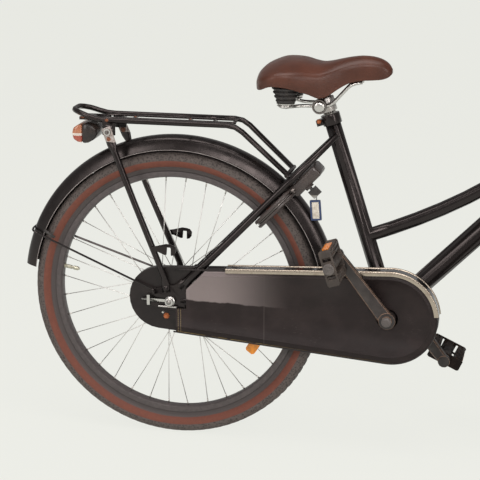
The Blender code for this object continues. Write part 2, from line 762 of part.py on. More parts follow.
def headset_cups():
    outer = CUP_RADIUS
    press = HEAD_TUBE_BORE * math.cos(math.pi / 14) - GAP
    bore = (STEERER_RADIUS + RUNNING_GAP) / math.cos(math.pi / 14)
    shape = [
        (0.012, bore), (0.012, press), (-GAP, press), (-GAP, outer), (-0.0075, outer - 0.001),
        (-0.0075, bore),
    ]
    lower = lathe(shape, steer_point(HEAD_TUBE_FOOT), STEER_DIRECTION, 14, closed=True)
    upper = lathe(shape, steer_point(HEAD_TUBE_TOP), -STEER_DIRECTION, 14, closed=True)
    node(lower, "headset_lower_cup", bright_steel())
    node(upper, "headset_upper_cup", bright_steel())


def bottom_bracket():
    press = SHELL_BORE * math.cos(math.pi / 16) - GAP
    bore = (SPINDLE_RADIUS + RUNNING_GAP) / math.cos(math.pi / 12)
    lip = SHELL_HALF_WIDTH + GAP
    side = [(lip + 0.0022, bore), (lip + 0.0022, 0.0185), (lip, 0.0195), (lip, press)]
    profile = side + [(-y, r) for y, r in reversed(side)]
    unit = lathe(profile, BOTTOM_BRACKET, ACROSS, 12, closed=True)
    return node(unit, "bottom_bracket", dull_steel(), BOTTOM_BRACKET)


# Carrier and what hangs on it


def carrier_route():
    """Half of the rail, from its foot on the seat stay to the tail's middle."""
    tail = CARRIER_TAIL
    return rounded([
        (CARRIER_FOOT.x, CARRIER_FOOT.y, CARRIER_FOOT.z),
        (RAIL_FRONT, RAIL_SPREAD, RAIL_HEIGHT),
        (RAIL_REAR, RAIL_SPREAD, RAIL_HEIGHT),
        (tail.x + 0.020, 0.033, lerp(RAIL_HEIGHT, tail.z, 0.72)),
        (tail.x, 0.020, tail.z),
        (tail.x, 0.0, tail.z),
    ], 0.018, 2)


def carrier():
    """One bent tube round the platform, two inner rods and the cross rods."""
    half = carrier_route()
    whole = half[:-1] + [mirrored(p) for p in reversed(half[:-1])]
    rail = sweep(whole, RAIL_RADIUS, 8, Vector((0.3, 0.0, 1.0)))
    parts = []
    for x in CARRIER_RODS:
        parts.append(
            sweep([(x, -RAIL_SPREAD, RAIL_HEIGHT), (x, RAIL_SPREAD, RAIL_HEIGHT)], ROD_RADIUS, 4, UP)
        )
    for y in (-0.016, 0.016):
        height = RAIL_HEIGHT + 0.0012
        parts.append(
            sweep(
                [(CARRIER_RODS[0] - 0.006, y, height), (CARRIER_RODS[-1] + 0.006, y, height)], ROD_RADIUS,
                4,
            )
        )
    for side in (1, -1):
        tab_x = STRUT_PATH[0][0]
        bolt_z = STRUT_PATH[0][2]
        tab = block((tab_x, side * 0.0400, bolt_z + 0.0075), (0.026, 0.004, 0.030))
        bolt = cylinder((tab_x, side * 0.0410, bolt_z), (tab_x, side * 0.0465, bolt_z), 0.0085, 8)
        parts += [tab, bolt]
    foot_end = CARRIER_FOOT - STAY_NORMAL * 0.0019 + ACROSS * 0.012
    foot_bar = sweep([foot_end, mirrored(foot_end)], 0.0048, 6, UP)
    plate_top = RAIL_HEIGHT + ROD_RADIUS * 0.4
    middle = (plate_top + CARRIER_PLATE_BOTTOM) / 2
    plate = block((-0.164, 0.0, middle), (0.056, 0.040, plate_top - CARRIER_PLATE_BOTTOM))
    return node(union(rail, *parts, foot_bar, plate), "carrier", gloss_black())


def carrier_strut(name, side):
    """Tube from the rail's tab to the dropout, flattened at its foot and head."""
    points = [(x, side * y, z) for x, y, z in STRUT_PATH]
    head = Vector(points[0])
    run = (Vector(points[1]) - head).normalized()
    flat_y = (0.0020, 0.0105)
    thin = (0.0018, 0.0085)
    tube = (STRUT_RADIUS, STRUT_RADIUS)
    foot_y = side * (DROPOUT_OUTER + GAP + 0.0020)
    top = head - run * 0.010
    route = [
        (top.x, side * 0.0492, top.z), (head.x, side * 0.0492, head.z),
        tuple(head + run * 0.026), tuple(head + run * 0.040), points[1], points[2],
        (-0.0040, foot_y, 0.0340), (-0.0030, foot_y, 0.0180),
    ]
    sizes = [flat_y, flat_y, flat_y, tube, tube, tube, thin, thin]
    strut = sweep(route, sizes, 8)
    bolt = cylinder((-0.0032, foot_y, 0.0255), (-0.0032, foot_y + side * 0.0045, 0.0255), 0.0050, 6)
    return node(union(strut, bolt), name, gloss_black())


def bag_hook(name, side):
    """Plate on the strut's outside, with the open slot that a bag's hook drops into."""
    outline = [
        (-0.0310, 0.1142), (-0.0180, 0.1168), (-0.0010, 0.1214), (0.0085, 0.1207), (0.0160, 0.1185),
        (0.0202, 0.1125), (0.0192, 0.1040), (0.0155, 0.0990), (0.0105, 0.0974), (0.0090, 0.0985),
        (0.0092, 0.1143), (0.0014, 0.1147), (0.0000, 0.0990), (-0.0040, 0.0985), (-0.0190, 0.1045),
        (-0.0310, 0.1060),
    ]
    upper, lower = Vector(STRUT_PATH[1]), Vector(STRUT_PATH[2])
    strut = lerp(upper, lower, (upper.z - outline[-1][1]) / (upper.z - lower.z))
    centre_y = side * (strut.y + STRUT_RADIUS * math.cos(math.pi / 8) + GAP + 0.0016)
    return node(prism(outline, centre_y - 0.0016, centre_y + 0.0016), name, black_plastic())


def rear_light():
    """Housing under the tail of the carrier, and the two-part lens behind it."""
    base = CARRIER_PLATE_BOTTOM
    outline = [
        (-0.1845, -0.0075), (-0.172, -0.0055), (-0.156, -0.0120), (-0.151, -0.0240),
        (-0.158, -0.0380), (-0.172, -0.0460), (-0.1845, -0.0480),
    ]
    housing = prism([(x, base + z) for x, z in outline], -0.031, 0.031)
    modifier = housing.modifiers.new("edges", "BEVEL")
    modifier.width = 0.005
    modifier.segments = 2
    arm_low, arm_high = base - 0.010, base - GAP
    arm = block((-0.167, 0.0, (arm_low + arm_high) / 2), (0.020, 0.024, arm_high - arm_low))
    housing = union(housing, arm)
    node(housing, "rear_light_housing", black_plastic())
    lens = [
        (-0.1848, -0.0090), (-0.194, -0.0100), (-0.2030, -0.0160), (-0.2062, -0.0280),
        (-0.2030, -0.0395), (-0.194, -0.0455), (-0.1848, -0.0465),
    ]
    glass = prism([(x, base + z) for x, z in lens], -0.0295, 0.0295)
    modifier = glass.modifiers.new("edges", "BEVEL")
    modifier.width = 0.003
    modifier.segments = 2
    node(glass, "rear_light_lens", material("red_lens", (0.55, 0.03, 0.02), 0.15))


# Mudguards


def mudguard_strip(centre, radius, span, steps):
    """A curved strip whose section is an arch with its edges turned down."""
    half = MUDGUARD_HALF_WIDTH
    outer = []
    for i in range(5):
        across = -1 + i / 2
        outer.append((half * across, -MUDGUARD_DROP * abs(across) ** 2.4))
    inner = [(y * (1 - MUDGUARD_WALL / half), n - MUDGUARD_WALL) for y, n in reversed(outer)]
    section = outer + inner
    bm = bmesh.new()
    rings = []
    for i in range(steps + 1):
        angle = span[0] + (span[1] - span[0]) * i / steps
        out = Vector((math.cos(angle), 0.0, math.sin(angle)))
        rings.append([bm.verts.new(Vector(centre) + out * (radius + n) + ACROSS * y) for y, n in section])
    for first, second in zip(rings, rings[1:]):
        for k in range(len(section)):
            after = (k + 1) % len(section)
            bm.faces.new((first[k], first[after], second[after], second[k]))
    bm.faces.new(rings[0])
    bm.faces.new(rings[-1])
    return as_object(bm)


def guard_radius(radius, span, steps, angle):
    """Distance from the guard's centre to its faceted outer face, in one direction."""
    step = (span[1] - span[0]) / steps
    off = (angle - span[0]) % step - step / 2
    return radius * math.cos(step / 2) / math.cos(off)


def stay_wire(start, end, radius=0.0022):
    return sweep([start, end], radius, 6)


def rear_mudguard():
    centre = Vector((REAR_MUDGUARD_SHIFT, 0.0, 0.0))
    strip = mudguard_strip(centre, REAR_MUDGUARD_RADIUS, REAR_MUDGUARD_SPAN, GUARD_STEPS)
    return node(strip, "rear_mudguard", gloss_black())


def rear_mudguard_stay():
    """One wire bent over the guard's outside, its two legs running to the dropouts."""
    angle = math.radians(158)
    centre = Vector((REAR_MUDGUARD_SHIFT, 0.0, 0.0))
    out = Vector((math.cos(angle), 0.0, math.sin(angle)))
    over = guard_radius(REAR_MUDGUARD_RADIUS, REAR_MUDGUARD_SPAN, GUARD_STEPS, angle) + GAP + 0.0022
    half = MUDGUARD_HALF_WIDTH
    top = centre + out * over
    route = [
        (-0.0290, -(DROPOUT_OUTER + GAP + 0.0024), 0.0120),
        (-0.0290, -(DROPOUT_OUTER + GAP + 0.0024), 0.0220),
        tuple(centre + out * (over - 0.016) - ACROSS * (half + 0.0045)),
        tuple(top - ACROSS * (half + 0.0030) - out * 0.0050),
        tuple(top - ACROSS * half * 0.55),
    ]
    far = [mirrored(p) for p in reversed(route)]
    wire = sweep(rounded(route + far, 0.006, 2), 0.0022, 6, Vector((1.0, 0.0, 0.35)))
    return node(wire, "rear_mudguard_stay", bright_steel())


def front_mudguard():
    centre = FRONT_AXLE
    strip = mudguard_strip(centre, FRONT_MUDGUARD_RADIUS, FRONT_MUDGUARD_SPAN, GUARD_STEPS)
    legs = []
    angle = FRONT_MUDGUARD_SPAN[1] - math.radians(14)
    out = Vector((math.cos(angle), 0.0, math.sin(angle)))
    for side in (1, -1):
        edge = centre + out * (FRONT_MUDGUARD_RADIUS - MUDGUARD_DROP * 0.8) + ACROSS * side * (MUDGUARD_HALF_WIDTH - 0.0008)
        eyelet = centre + Vector((-0.014, side * 0.0630, 0.012))
        legs.append(stay_wire(edge, eyelet))
    whole = union(strip, *legs)
    return node(whole, "front_mudguard", gloss_black(), steer_point(0.0))


# Ring lock


def lock_point(angle, radius, above=0.0):
    """A point on the lock's circle. Angle 0 points at the axle and grows to the right side."""
    along = LOCK_CENTRE - radius * math.cos(angle)
    return stay_point(along, -radius * math.sin(angle), above - LOCK_DROP)


def lock_arc(start, end, radius, steps):
    return [lock_point(start + (end - start) * i / steps, radius) for i in range(steps + 1)]


def key_seat():
    """Middle of the lock barrel's face, on the underside of the housing."""
    return stay_point(0.372, -0.018, -LOCK_TOP - LOCK_THICKNESS)


def ring_lock_body():
    """Horseshoe housing with its curved channel, slot and lock barrel."""
    tip = LOCK_TIP_ANGLE
    corner = 0.72
    section = [
        (1, corner), (corner, 1), (-corner, 1), (-1, corner), (
            -1, -corner,
        ), (-corner, -1), (corner, -1), (1, -corner),
    ]
    stations = lock_arc(tip, math.tau - tip, LOCK_RADIUS, 16)
    sizes = [(LOCK_HALF_THICKNESS, LOCK_HALF_WIDTH)] * len(stations)
    shoe = sweep(stations, sizes, side_axis=STAY_NORMAL, section=section)
    box_start = 0.3400
    box_end = 0.4110
    turn = turned(STAY_DIRECTION, STAY_NORMAL)
    thickness = LOCK_THICKNESS
    top = LOCK_TOP
    middle = stay_point((box_start + box_end) / 2, 0.0, -top - thickness / 2)
    box = block(middle, (box_end - box_start, 0.062, thickness), turn)
    bevel = box.modifiers.new("edges", "BEVEL")
    bevel.width = 0.006
    bevel.segments = 2
    barrel_at = key_seat()
    barrel = cylinder(barrel_at + STAY_NORMAL * 0.006, barrel_at - STAY_NORMAL * 0.004, 0.0095, 10)
    body = union(shoe, box, barrel)
    free = SHACKLE_RADIUS + RUNNING_GAP
    channel = sweep(
        lock_arc(math.radians(-56), math.radians(156), LOCK_RADIUS, 26), free / math.cos(math.pi / 8), 8,
        STAY_NORMAL,
    )
    slot_path = lock_arc(math.radians(44), math.radians(150), LOCK_RADIUS + 0.0085, 12)
    slot = sweep(
        slot_path, [(0.0024, 0.0078)] * len(slot_path), side_axis=STAY_NORMAL,
        section=[(1, 1), (-1, 1), (-1, -1), (1, -1)],
    )
    key_hole = cylinder(barrel_at - STAY_NORMAL * 0.020, barrel_at + STAY_NORMAL * 0.008, 0.0042, 10)
    body = cut(body, channel, slot, key_hole)
    return node(body, "ring_lock_body", black_plastic())


def ring_lock_shackle():
    """Curved bolt with the lever that pushes it round."""
    bolt = sweep(
        lock_arc(math.radians(44), math.radians(149), LOCK_RADIUS, 13), SHACKLE_RADIUS, 8, STAY_NORMAL,
    )
    at = math.radians(143)
    stem = cylinder(lock_point(at, LOCK_RADIUS), lock_point(at, LOCK_RADIUS + 0.017), 0.0019, 6)
    knob = cylinder(lock_point(at, LOCK_RADIUS + 0.0105), lock_point(at, LOCK_RADIUS + 0.0195), 0.0048, 8)
    return node(
        union(bolt, stem, knob), "ring_lock_shackle", bright_steel(),
        stay_point(LOCK_CENTRE, 0, -LOCK_DROP),
    )


def ring_lock_key():
    """Key in the barrel, with its bow and the tag that hangs from it."""
    seat = key_seat()
    inward = STAY_NORMAL
    shaft = cylinder(seat + inward * 0.0070, seat - inward * 0.0090, 0.0033, 10)
    turn = turned(-inward, STAY_DIRECTION)
    bow = block(seat - inward * 0.0165, (0.018, 0.0030, 0.021), turn)
    hole = seat - inward * 0.0220
    ring = sweep([hole, hole + Vector((-0.001, 0.0, -0.016))], 0.0012, 6)
    tag = block(
        hole + Vector((-0.002, 0.0, -0.033)), (0.018, 0.003, 0.038), turned((1, 0, 0.08), (0, 0, 1)),
    )
    return node(union(shaft, bow, ring, tag), "ring_lock_key", bright_steel(), seat)


# Chain case and drive train


def hull_outline(shrink=0.0, steps=20):
    """The two case circles and the straight edges that touch both."""
    (x1, z1), (x2, z2) = CASE_REAR_CENTRE, CASE_FRONT_CENTRE
    r1, r2 = CASE_REAR_RADIUS - shrink, CASE_FRONT_RADIUS - shrink
    length = math.hypot(x2 - x1, z2 - z1)
    along = math.atan2(z2 - z1, x2 - x1)
    touch = math.acos((r1 - r2) / length)
    front = arc((x2, z2), r2, along - touch, along + touch, steps)
    rear = arc((x1, z1), r1, along + touch, along - touch + math.tau, steps - 6)
    return front + rear


def beyond_stay(offset, reach=0.4):
    """A large outline that covers everything behind the seat stay's lower edge."""
    lower = stay_point(0.0, 0.0, -offset)
    upper = stay_point(reach, 0.0, -offset)
    return [
        (upper.x, upper.z), (upper.x - 0.6, upper.z), (lower.x - 0.6, lower.z - 0.2), (lower.x, lower.z),
    ]


def case_shell(face, edge, outline_shrink=0.0):
    """A shallow tray on the right side: a flat wall at face, its rim reaching back to edge."""
    tray = prism(hull_outline(outline_shrink), -face, -edge)
    inside = prism(hull_outline(outline_shrink + CASE_WALL), -(face - CASE_WALL), -edge + 0.02)
    return cut(tray, inside)


def chain_case_outer():
    """Main cover. It starts below the seat stay and has a hole for the crank's boss."""
    tray = case_shell(CASE_OUTER_FACE, CASE_INNER_FACE)
    stay_side = prism(beyond_stay(SEAT_STAY_RADIUS + 0.0016), -0.08, -0.02)
    back = prism(
        [(0.040, 0.2), (0.040, -0.014), (0.018, -0.014), (0.018, -0.2), (-0.2, -0.2), (-0.2, 0.2)], -0.08,
        -0.02,
    )
    hole = prism(crank_hole(0.0205, 0.003), -0.08, -0.05)
    panel = sweep(ridge_route(), 0.0013, 6, closed=True)
    tray = union(tray, panel)
    return node(cut(tray, stay_side, back, hole), "chain_case_outer", black_plastic())


def ridge_route():
    """The raised line that runs inside the cover's edge."""
    return [Vector((x, -CASE_OUTER_FACE, z)) for x, z in hull_outline(0.014, 14)]


def crank_hole(radius, stretch):
    """An elongated outline round the crank's boss."""
    x, z = BOTTOM_BRACKET.x, BOTTOM_BRACKET.z
    right = arc((x, z), radius, math.radians(-90), math.radians(90), 8)
    left = arc((x - stretch, z), radius, math.radians(90), math.radians(270), 8)
    return right + left


def chain_case_rear_end():
    """End piece between the spokes and the dropout, behind the seat stay."""
    tray = case_shell(CASE_REAR_FACE, CASE_INNER_FACE)
    edge = SEAT_STAY_RADIUS + 0.0016
    front = stay_point(0.0, 0.0, edge)
    ahead = stay_point(0.3, 0.0, edge)
    stay_side = prism(
        [(front.x, front.z), (ahead.x, ahead.z), (0.7, ahead.z), (0.7, front.z)], -0.08, -0.02,
    )
    back_x = 0.018 - GAP
    low = prism(
        [(back_x, front.z + 0.0005), (0.7, front.z + 0.0005), (0.7, -0.2), (back_x, -0.2)], -0.08, -0.02,
    )
    axle_hole = cylinder(REAR_AXLE - ACROSS * 0.06, REAR_AXLE - ACROSS * 0.05, 0.0120, 12)
    return node(cut(tray, stay_side, low, axle_hole), "chain_case_rear_end", black_plastic())


def chain_case_inner():
    """Flat panel beside the wheel, open round the chainstay, the shell and the hub."""
    low, high = CASE_INNER_FACE - CASE_WALL - GAP, CASE_INNER_FACE - GAP
    panel = prism(hull_outline(0.0008), -high, -low)
    path = chainstay_path(-1)
    half = CHAINSTAY_HALF_HEIGHT + 0.0025
    start_x = path[0].x + 0.004
    end_x = 0.150
    stay_slot = prism(
        [(end_x, half), (end_x, -half - 0.002), (start_x, -half - 0.003), (start_x, half)], -0.06, -0.02,
    )
    shell_hole = cylinder(
        BOTTOM_BRACKET - ACROSS * 0.06, BOTTOM_BRACKET - ACROSS * 0.02, SHELL_RADIUS + 0.003, 16,
    )
    hub_hole = cylinder(REAR_AXLE - ACROSS * 0.06, REAR_AXLE - ACROSS * 0.02, 0.0275, 16)
    stand_room = prism([(0.255, 0.0), (0.255, -0.02), (0.305, -0.02), (0.305, 0.0)], -0.06, -0.02)
    return node(
        cut(panel, stay_slot, shell_hole, hub_hole, stand_room), "chain_case_inner", black_plastic(),
    )


def chain_case_trim():
    """Bright strip on the edge of the cover, along the top and round the front."""
    outline = hull_outline(-GAP - 0.0011, 20)
    count = 20
    front = outline[: count + 1]
    rear_start = Vector((front[-1][0], 0.0, front[-1][1]))
    rear_end = Vector((outline[count + 1][0], 0.0, outline[count + 1][1]))
    run = (rear_end - rear_start).normalized()
    reach = (rear_start.x - 0.125) / -run.x
    end = rear_start + run * reach
    path = [(x, z) for x, z in front[6:]] + [(end.x, end.z)]
    middle = -(CASE_OUTER_FACE - 0.0048)
    points = [Vector((x, middle, z)) for x, z in path]
    section = [(1, 1), (-1, 1), (-1, -1), (1, -1)]
    strip = sweep(points, [(0.0045, 0.0010)] * len(points), section=section)
    return node(strip, "chain_case_trim", bright_steel())


def toothed_disc(centre, teeth, pitch_radius, half_thickness):
    """A toothed wheel with two corners for each tooth."""
    root = pitch_radius - TOOTH_HEIGHT
    tip = pitch_radius + TOOTH_HEIGHT
    outline = []
    for k in range(teeth):
        middle = math.tau * k / teeth
        for share, radius in ((0.0, tip), (0.5, root)):
            angle = middle + math.tau / teeth * share
            outline.append((centre[0] + radius * math.cos(angle), centre[1] + radius * math.sin(angle)))
    return prism(outline, -CHAINLINE - half_thickness, -CHAINLINE + half_thickness)


def chainring():
    centre = (BOTTOM_BRACKET.x, BOTTOM_BRACKET.z)
    disc = toothed_disc(centre, CHAINRING_TEETH, CHAINRING_RADIUS, 0.0012)
    windows = []
    for k in range(5):
        middle = math.tau * k / 5 + CRANK_ANGLE
        inner = arc(centre, 0.034, middle + 0.42, middle - 0.42, 3)
        outer = arc(centre, 0.062, middle - 0.46, middle + 0.46, 4)
        windows.append(prism(outer + inner, -CHAINLINE - 0.01, -CHAINLINE + 0.01))
    bore = (SPINDLE_RADIUS + GAP) / math.cos(math.pi / 14)
    boss_far = -(CHAINLINE + 0.0065)
    boss = tube_ring(
        BOTTOM_BRACKET + ACROSS * boss_far, BOTTOM_BRACKET - ACROSS * (CHAINLINE - 0.0025), 0.0180, bore,
        14,
    )
    hole = cylinder(BOTTOM_BRACKET - ACROSS * 0.08, BOTTOM_BRACKET, 0.0150, 16)
    disc = cut(disc, joined(windows), hole)
    return node(union(disc, boss), "chainring", dull_steel(), BOTTOM_BRACKET)


def rear_sprocket():
    """Sprocket on the driver that turns in the hub's right end."""
    disc = toothed_disc((REAR_AXLE.x, REAR_AXLE.z), SPROCKET_TEETH, SPROCKET_RADIUS, 0.0011)
    bore = AXLE_RADIUS + RUNNING_GAP
    hole = cylinder(REAR_AXLE - ACROSS * 0.06, REAR_AXLE - ACROSS * 0.03, 0.0130, 16)
    driver = tube_ring(REAR_AXLE - ACROSS * 0.0494, REAR_AXLE - ACROSS * 0.0339, 0.0160, bore)
    return node(union(cut(disc, hole), driver), "rear_sprocket", dull_steel())


def chain():
    """Closed band of side plates and rollers, channelled where the teeth run."""
    rear, front = REAR_AXLE, BOTTOM_BRACKET
    length = math.hypot(front.x - rear.x, front.z - rear.z)
    along = math.atan2(front.z - rear.z, front.x - rear.x)
    touch = math.acos((SPROCKET_RADIUS - CHAINRING_RADIUS) / length)
    ring = arc((front.x, front.z), CHAINRING_RADIUS, along - touch, along + touch, 14)
    small = arc((rear.x, rear.z), SPROCKET_RADIUS, along + touch, along - touch + math.tau, 9)
    path = [Vector((x, -CHAINLINE, z)) for x, z in reversed(ring + small)]
    tip = TOOTH_HEIGHT + 0.0006
    outline = [
        (0.0039, -0.0040), (0.0039, 0.0052), (-0.0039, 0.0052), (-0.0039, -0.0040),
        (-0.0018, -0.0040), (-0.0018, tip), (0.0018, tip), (0.0018, -0.0040),
    ]
    band = sweep(path, [(1.0, 1.0)] * len(path), closed=True, section=outline)
    return node(band, "chain", dull_steel())


def crank(name, side):
    """Forged arm: boss, tapering blade, pedal eye and the pedal's pin."""
    direction = CRANK_DIRECTION * (1 if side < 0 else -1)
    across = Vector((-direction.z, 0.0, direction.x))
    base = BOTTOM_BRACKET
    tip = base + direction * CRANK_LENGTH
    inner, outer = side * CRANK_INNER, side * CRANK_OUTER
    near, far = sorted((inner + side * 0.0008, outer - side * 0.0008))
    outline = []
    for t, half in ((0.0, 0.0150), (0.20, 0.0138), (0.50, 0.0125), (0.80, 0.0112), (1.0, 0.0104)):
        point = base + direction * (CRANK_LENGTH * t)
        outline.append((point, half))
    loop = [p + across * h for p, h in outline] + [p - across * h for p, h in reversed(outline)]
    arm = prism([(p.x, p.z) for p in loop], near, far)
    bevel = arm.modifiers.new("edges", "BEVEL")
    bevel.width = 0.0020
    bevel.segments = 1
    boss = cylinder(base + ACROSS * side * 0.0535, base + ACROSS * side * CRANK_OUTER, 0.0170, 14)
    eye = cylinder(tip + ACROSS * inner, tip + ACROSS * outer, 0.0125, 12)
    cap = cylinder(
        base + ACROSS * side * (CRANK_OUTER - 0.001), base + ACROSS * side * (CRANK_OUTER + 0.0015),
        0.0100, 10,
    )
    pin = cylinder(
        tip + ACROSS * side * (CRANK_OUTER - 0.002), tip + ACROSS * side * (PEDAL_OUTER - 0.008),
        PEDAL_PIN_RADIUS, 8,
    )
    collar = cylinder(
        tip + ACROSS * side * (CRANK_OUTER - 0.002), tip + ACROSS * side * (PEDAL_INNER - 0.0020), 0.0078,
        6,
    )
    body = union(arm, boss, eye, cap, pin, collar)
    socket = cylinder(
        base + ACROSS * side * 0.03, base + ACROSS * side * 0.0753, (SPINDLE_RADIUS + GAP) / math.cos(math.pi / 12), 12
    )
    return node(cut(body, socket), name, gloss_black(), BOTTOM_BRACKET)


def crank_spindle():
    shaft = lathe([(-0.0750, SPINDLE_RADIUS), (0.0750, SPINDLE_RADIUS)], BOTTOM_BRACKET, ACROSS, 12)
    return node(shaft, "crank_spindle", dull_steel(), BOTTOM_BRACKET)


def pedal(name, side, angle):
    """Barrel on the pin between two ribbed blocks, framed by end plates."""
    direction = CRANK_DIRECTION * (1 if side < 0 else -1)
    axis = BOTTOM_BRACKET + direction * CRANK_LENGTH
    long_way = Vector((math.cos(angle), 0.0, math.sin(angle)))
    turn = turned(long_way, long_way.cross(ACROSS))
    half = PEDAL_LENGTH / 2
    middle_y = side * (PEDAL_INNER + PEDAL_OUTER) / 2
    bar = 0.0170
    blocks = []
    for end in (1, -1):
        centre = axis + long_way * end * (half - bar / 2) + ACROSS * middle_y
        blocks.append(block(centre, (bar, PEDAL_WIDTH - 0.002, PEDAL_DEPTH - 0.004), turn))
        for k in range(2):
            rib = centre + long_way * end * ((k - 0.5) * 0.0090)
            blocks.append(block(rib, (0.0034, PEDAL_WIDTH - 0.008, PEDAL_DEPTH), turn))
    plates = []
    for y in (PEDAL_INNER + 0.0016, PEDAL_OUTER - 0.0016):
        centre = axis + ACROSS * side * y
        outline = []
        reach = half + 0.0012
        for along, half_depth in (
            (reach, 0.0100), (half * 0.93, 0.0124), (-half * 0.93, 0.0124), (-reach, 0.0100),
        ):
            outline.append((along, half_depth))
        other = Vector((long_way.z, 0.0, -long_way.x))
        loop = [axis + long_way * a + other * d for a, d in outline]
        loop += [axis + long_way * a - other * d for a, d in reversed(outline)]
        plates.append(prism([(p.x, p.z) for p in loop], centre.y - 0.0016, centre.y + 0.0016))
    barrel = cylinder(axis + ACROSS * side * PEDAL_INNER, axis + ACROSS * side * PEDAL_OUTER, 0.0118, 12)
    cap = cylinder(
        axis + ACROSS * side * (PEDAL_OUTER - 0.001), axis + ACROSS * side * (PEDAL_OUTER + 0.0020),
        0.0110, 12,
    )
    body = union(barrel, *blocks, *plates, cap)
    open_plates = []
    other = Vector((long_way.z, 0.0, -long_way.x))
    for end in (1, -1):
        near, far = 0.0138, half - bar + 0.004
        corners = [(near, 0.0085), (far, 0.0085), (far, -0.0085), (near, -0.0085)]
        loop = [axis + long_way * end * a + other * d for a, d in corners]
        y = side * PEDAL_OUTER
        open_plates.append(prism([(p.x, p.z) for p in loop], y - 0.006, y + 0.006))
    bore = cylinder(
        axis + ACROSS * side * (PEDAL_INNER - 0.02), axis + ACROSS * side * (PEDAL_OUTER - 0.006),
        (PEDAL_PIN_RADIUS + RUNNING_GAP) / math.cos(math.pi / 10), 10,
    )
    return node(cut(body, bore, *open_plates), name, black_plastic(), axis)


def coaster_arm():
    """Flat torque arm from the hub's left side to a clip under the chainstay."""
    path = chainstay_path(1)
    tip_x = 0.150
    t = (tip_x - path[-1].x) / (path[-2].x - path[-1].x)
    stay = lerp(path[-1], path[-2], t)
    low = 0.0358
    outline = arc((REAR_AXLE.x, 0.0), 0.0155, math.radians(70), math.radians(290), 8)
    outline += [
        (tip_x - 0.004, stay.z - 0.0085), (tip_x + 0.008, stay.z - 0.004),
        (tip_x + 0.008, stay.z + 0.004), (tip_x - 0.004, stay.z + 0.0065),
    ]
    plate = prism(outline, low, low + 0.0026)
    reach = stay.y - CHAINSTAY_HALF_WIDTH - GAP
    boss = cylinder((tip_x, low + 0.001, stay.z), (tip_x, reach, stay.z), 0.0045, 8)
    hole = cylinder(REAR_AXLE, REAR_AXLE + ACROSS * 0.06, AXLE_RADIUS + GAP + 0.0002, 12)
    return node(cut(union(plate, boss), hole), "coaster_arm", dull_steel())


def chain_tensioner():
    """Eye on the axle with a screw through the cap that closes the dropout's end."""
    low = DROPOUT_OUTER + GAP
    eye = tube_ring(
        REAR_AXLE - ACROSS * (low + 0.0020), REAR_AXLE - ACROSS * low, 0.0098, AXLE_RADIUS + GAP, 14,
    )
    bar_end = REAR_AXLE.x - 0.0090
    bar = block(((bar_end - 0.0440) / 2, -(low + 0.0010), 0.0), (bar_end + 0.0440, 0.0020, 0.0060))
    screw = cylinder((-0.040, -(low - 0.0028), 0.0), (-0.056, -(low - 0.0028), 0.0), 0.0026, 8)
    cap = block((-0.0405, -(low - 0.0012), 0.0), (0.0060, 0.0092, 0.0210))
    return node(union(eye, bar, cap, screw), "chain_tensioner_right", bright_steel())


# Saddle and seat post


def seat_post():
    bottom = SEAT_FOOT + SEAT_DIRECTION * (SEAT_TUBE_LENGTH - SEAT_POST_BORE_DEPTH + 0.020)
    top = CLAMP + SEAT_DIRECTION * 0.0225
    post = sweep([bottom, top], SEAT_POST_RADIUS, 16)
    return node(post, "seat_post", bright_steel(), SEAT_FOOT + SEAT_DIRECTION * SEAT_TUBE_LENGTH)


def saddle_clamp():
    """Head on the post that grips both rails between cheeks, with its cross bolt."""
    bore = (SEAT_POST_RADIUS + GAP) / math.cos(math.pi / 16)
    head = cylinder(CLAMP - SEAT_DIRECTION * 0.0137, CLAMP + SEAT_DIRECTION * 0.0137, 0.0172, 16)
    back = CLAMP - Vector((0.0105, 0.0, 0.0))
    bolt = cylinder(back - ACROSS * 0.034, back + ACROSS * 0.034, 0.0045, 8)
    cheeks = []
    for side in (1, -1):
        cheeks.append(cylinder(back + ACROSS * side * 0.0155, back + ACROSS * side * 0.0315, 0.0145, 12))
        cheeks.append(cylinder(back + ACROSS * side * 0.0310, back + ACROSS * side * 0.0355, 0.0080, 6))
    body = union(head, bolt, *cheeks)
    through = cylinder(CLAMP - SEAT_DIRECTION * 0.05, CLAMP + SEAT_DIRECTION * 0.05, bore, 16)
    return cut(body, through)


def rail_route(side):
    """One saddle rail from the bellows' foot, through the clamp, to the nose."""
    y = side * SADDLE_RAIL_SPREAD
    foot = SADDLE_FOOT.z + 0.0005
    nose = CLAMP + Vector((SADDLE_RAIL_NOSE, side * 0.009, SADDLE_RAIL_LIFT))
    return rounded([
        (SADDLE_FOOT.x, side * SADDLE_SPRING_SPREAD, foot),
        (SADDLE_FOOT.x + 0.026, y, foot),
        (CLAMP.x + 0.010, y, CLAMP.z),
        tuple(nose - Vector((0.022, -side * 0.005, 0.004))),
        tuple(nose),
    ], 0.010, 2)


def rail_end():
    """Middle of the bar that joins the rails under the nose."""
    return CLAMP + Vector((SADDLE_RAIL_NOSE - 0.004, 0.0, SADDLE_RAIL_LIFT - 0.0002))


def saddle_rails():
    right = sweep(rail_route(-1), SADDLE_RAIL_RADIUS, 6)
    left = sweep(rail_route(1), SADDLE_RAIL_RADIUS, 6)
    bar = rail_end()
    cross = sweep([bar - ACROSS * 0.011, bar + ACROSS * 0.011], SADDLE_RAIL_RADIUS, 6, UP)
    dish = []
    for side in (1, -1):
        centre = SADDLE_FOOT + ACROSS * side * SADDLE_SPRING_SPREAD
        dish.append(lathe([(0.0, 0.0120), (DISH_HEIGHT, 0.0175)], centre, UP, 12))
    return union(right, left, cross, *dish)


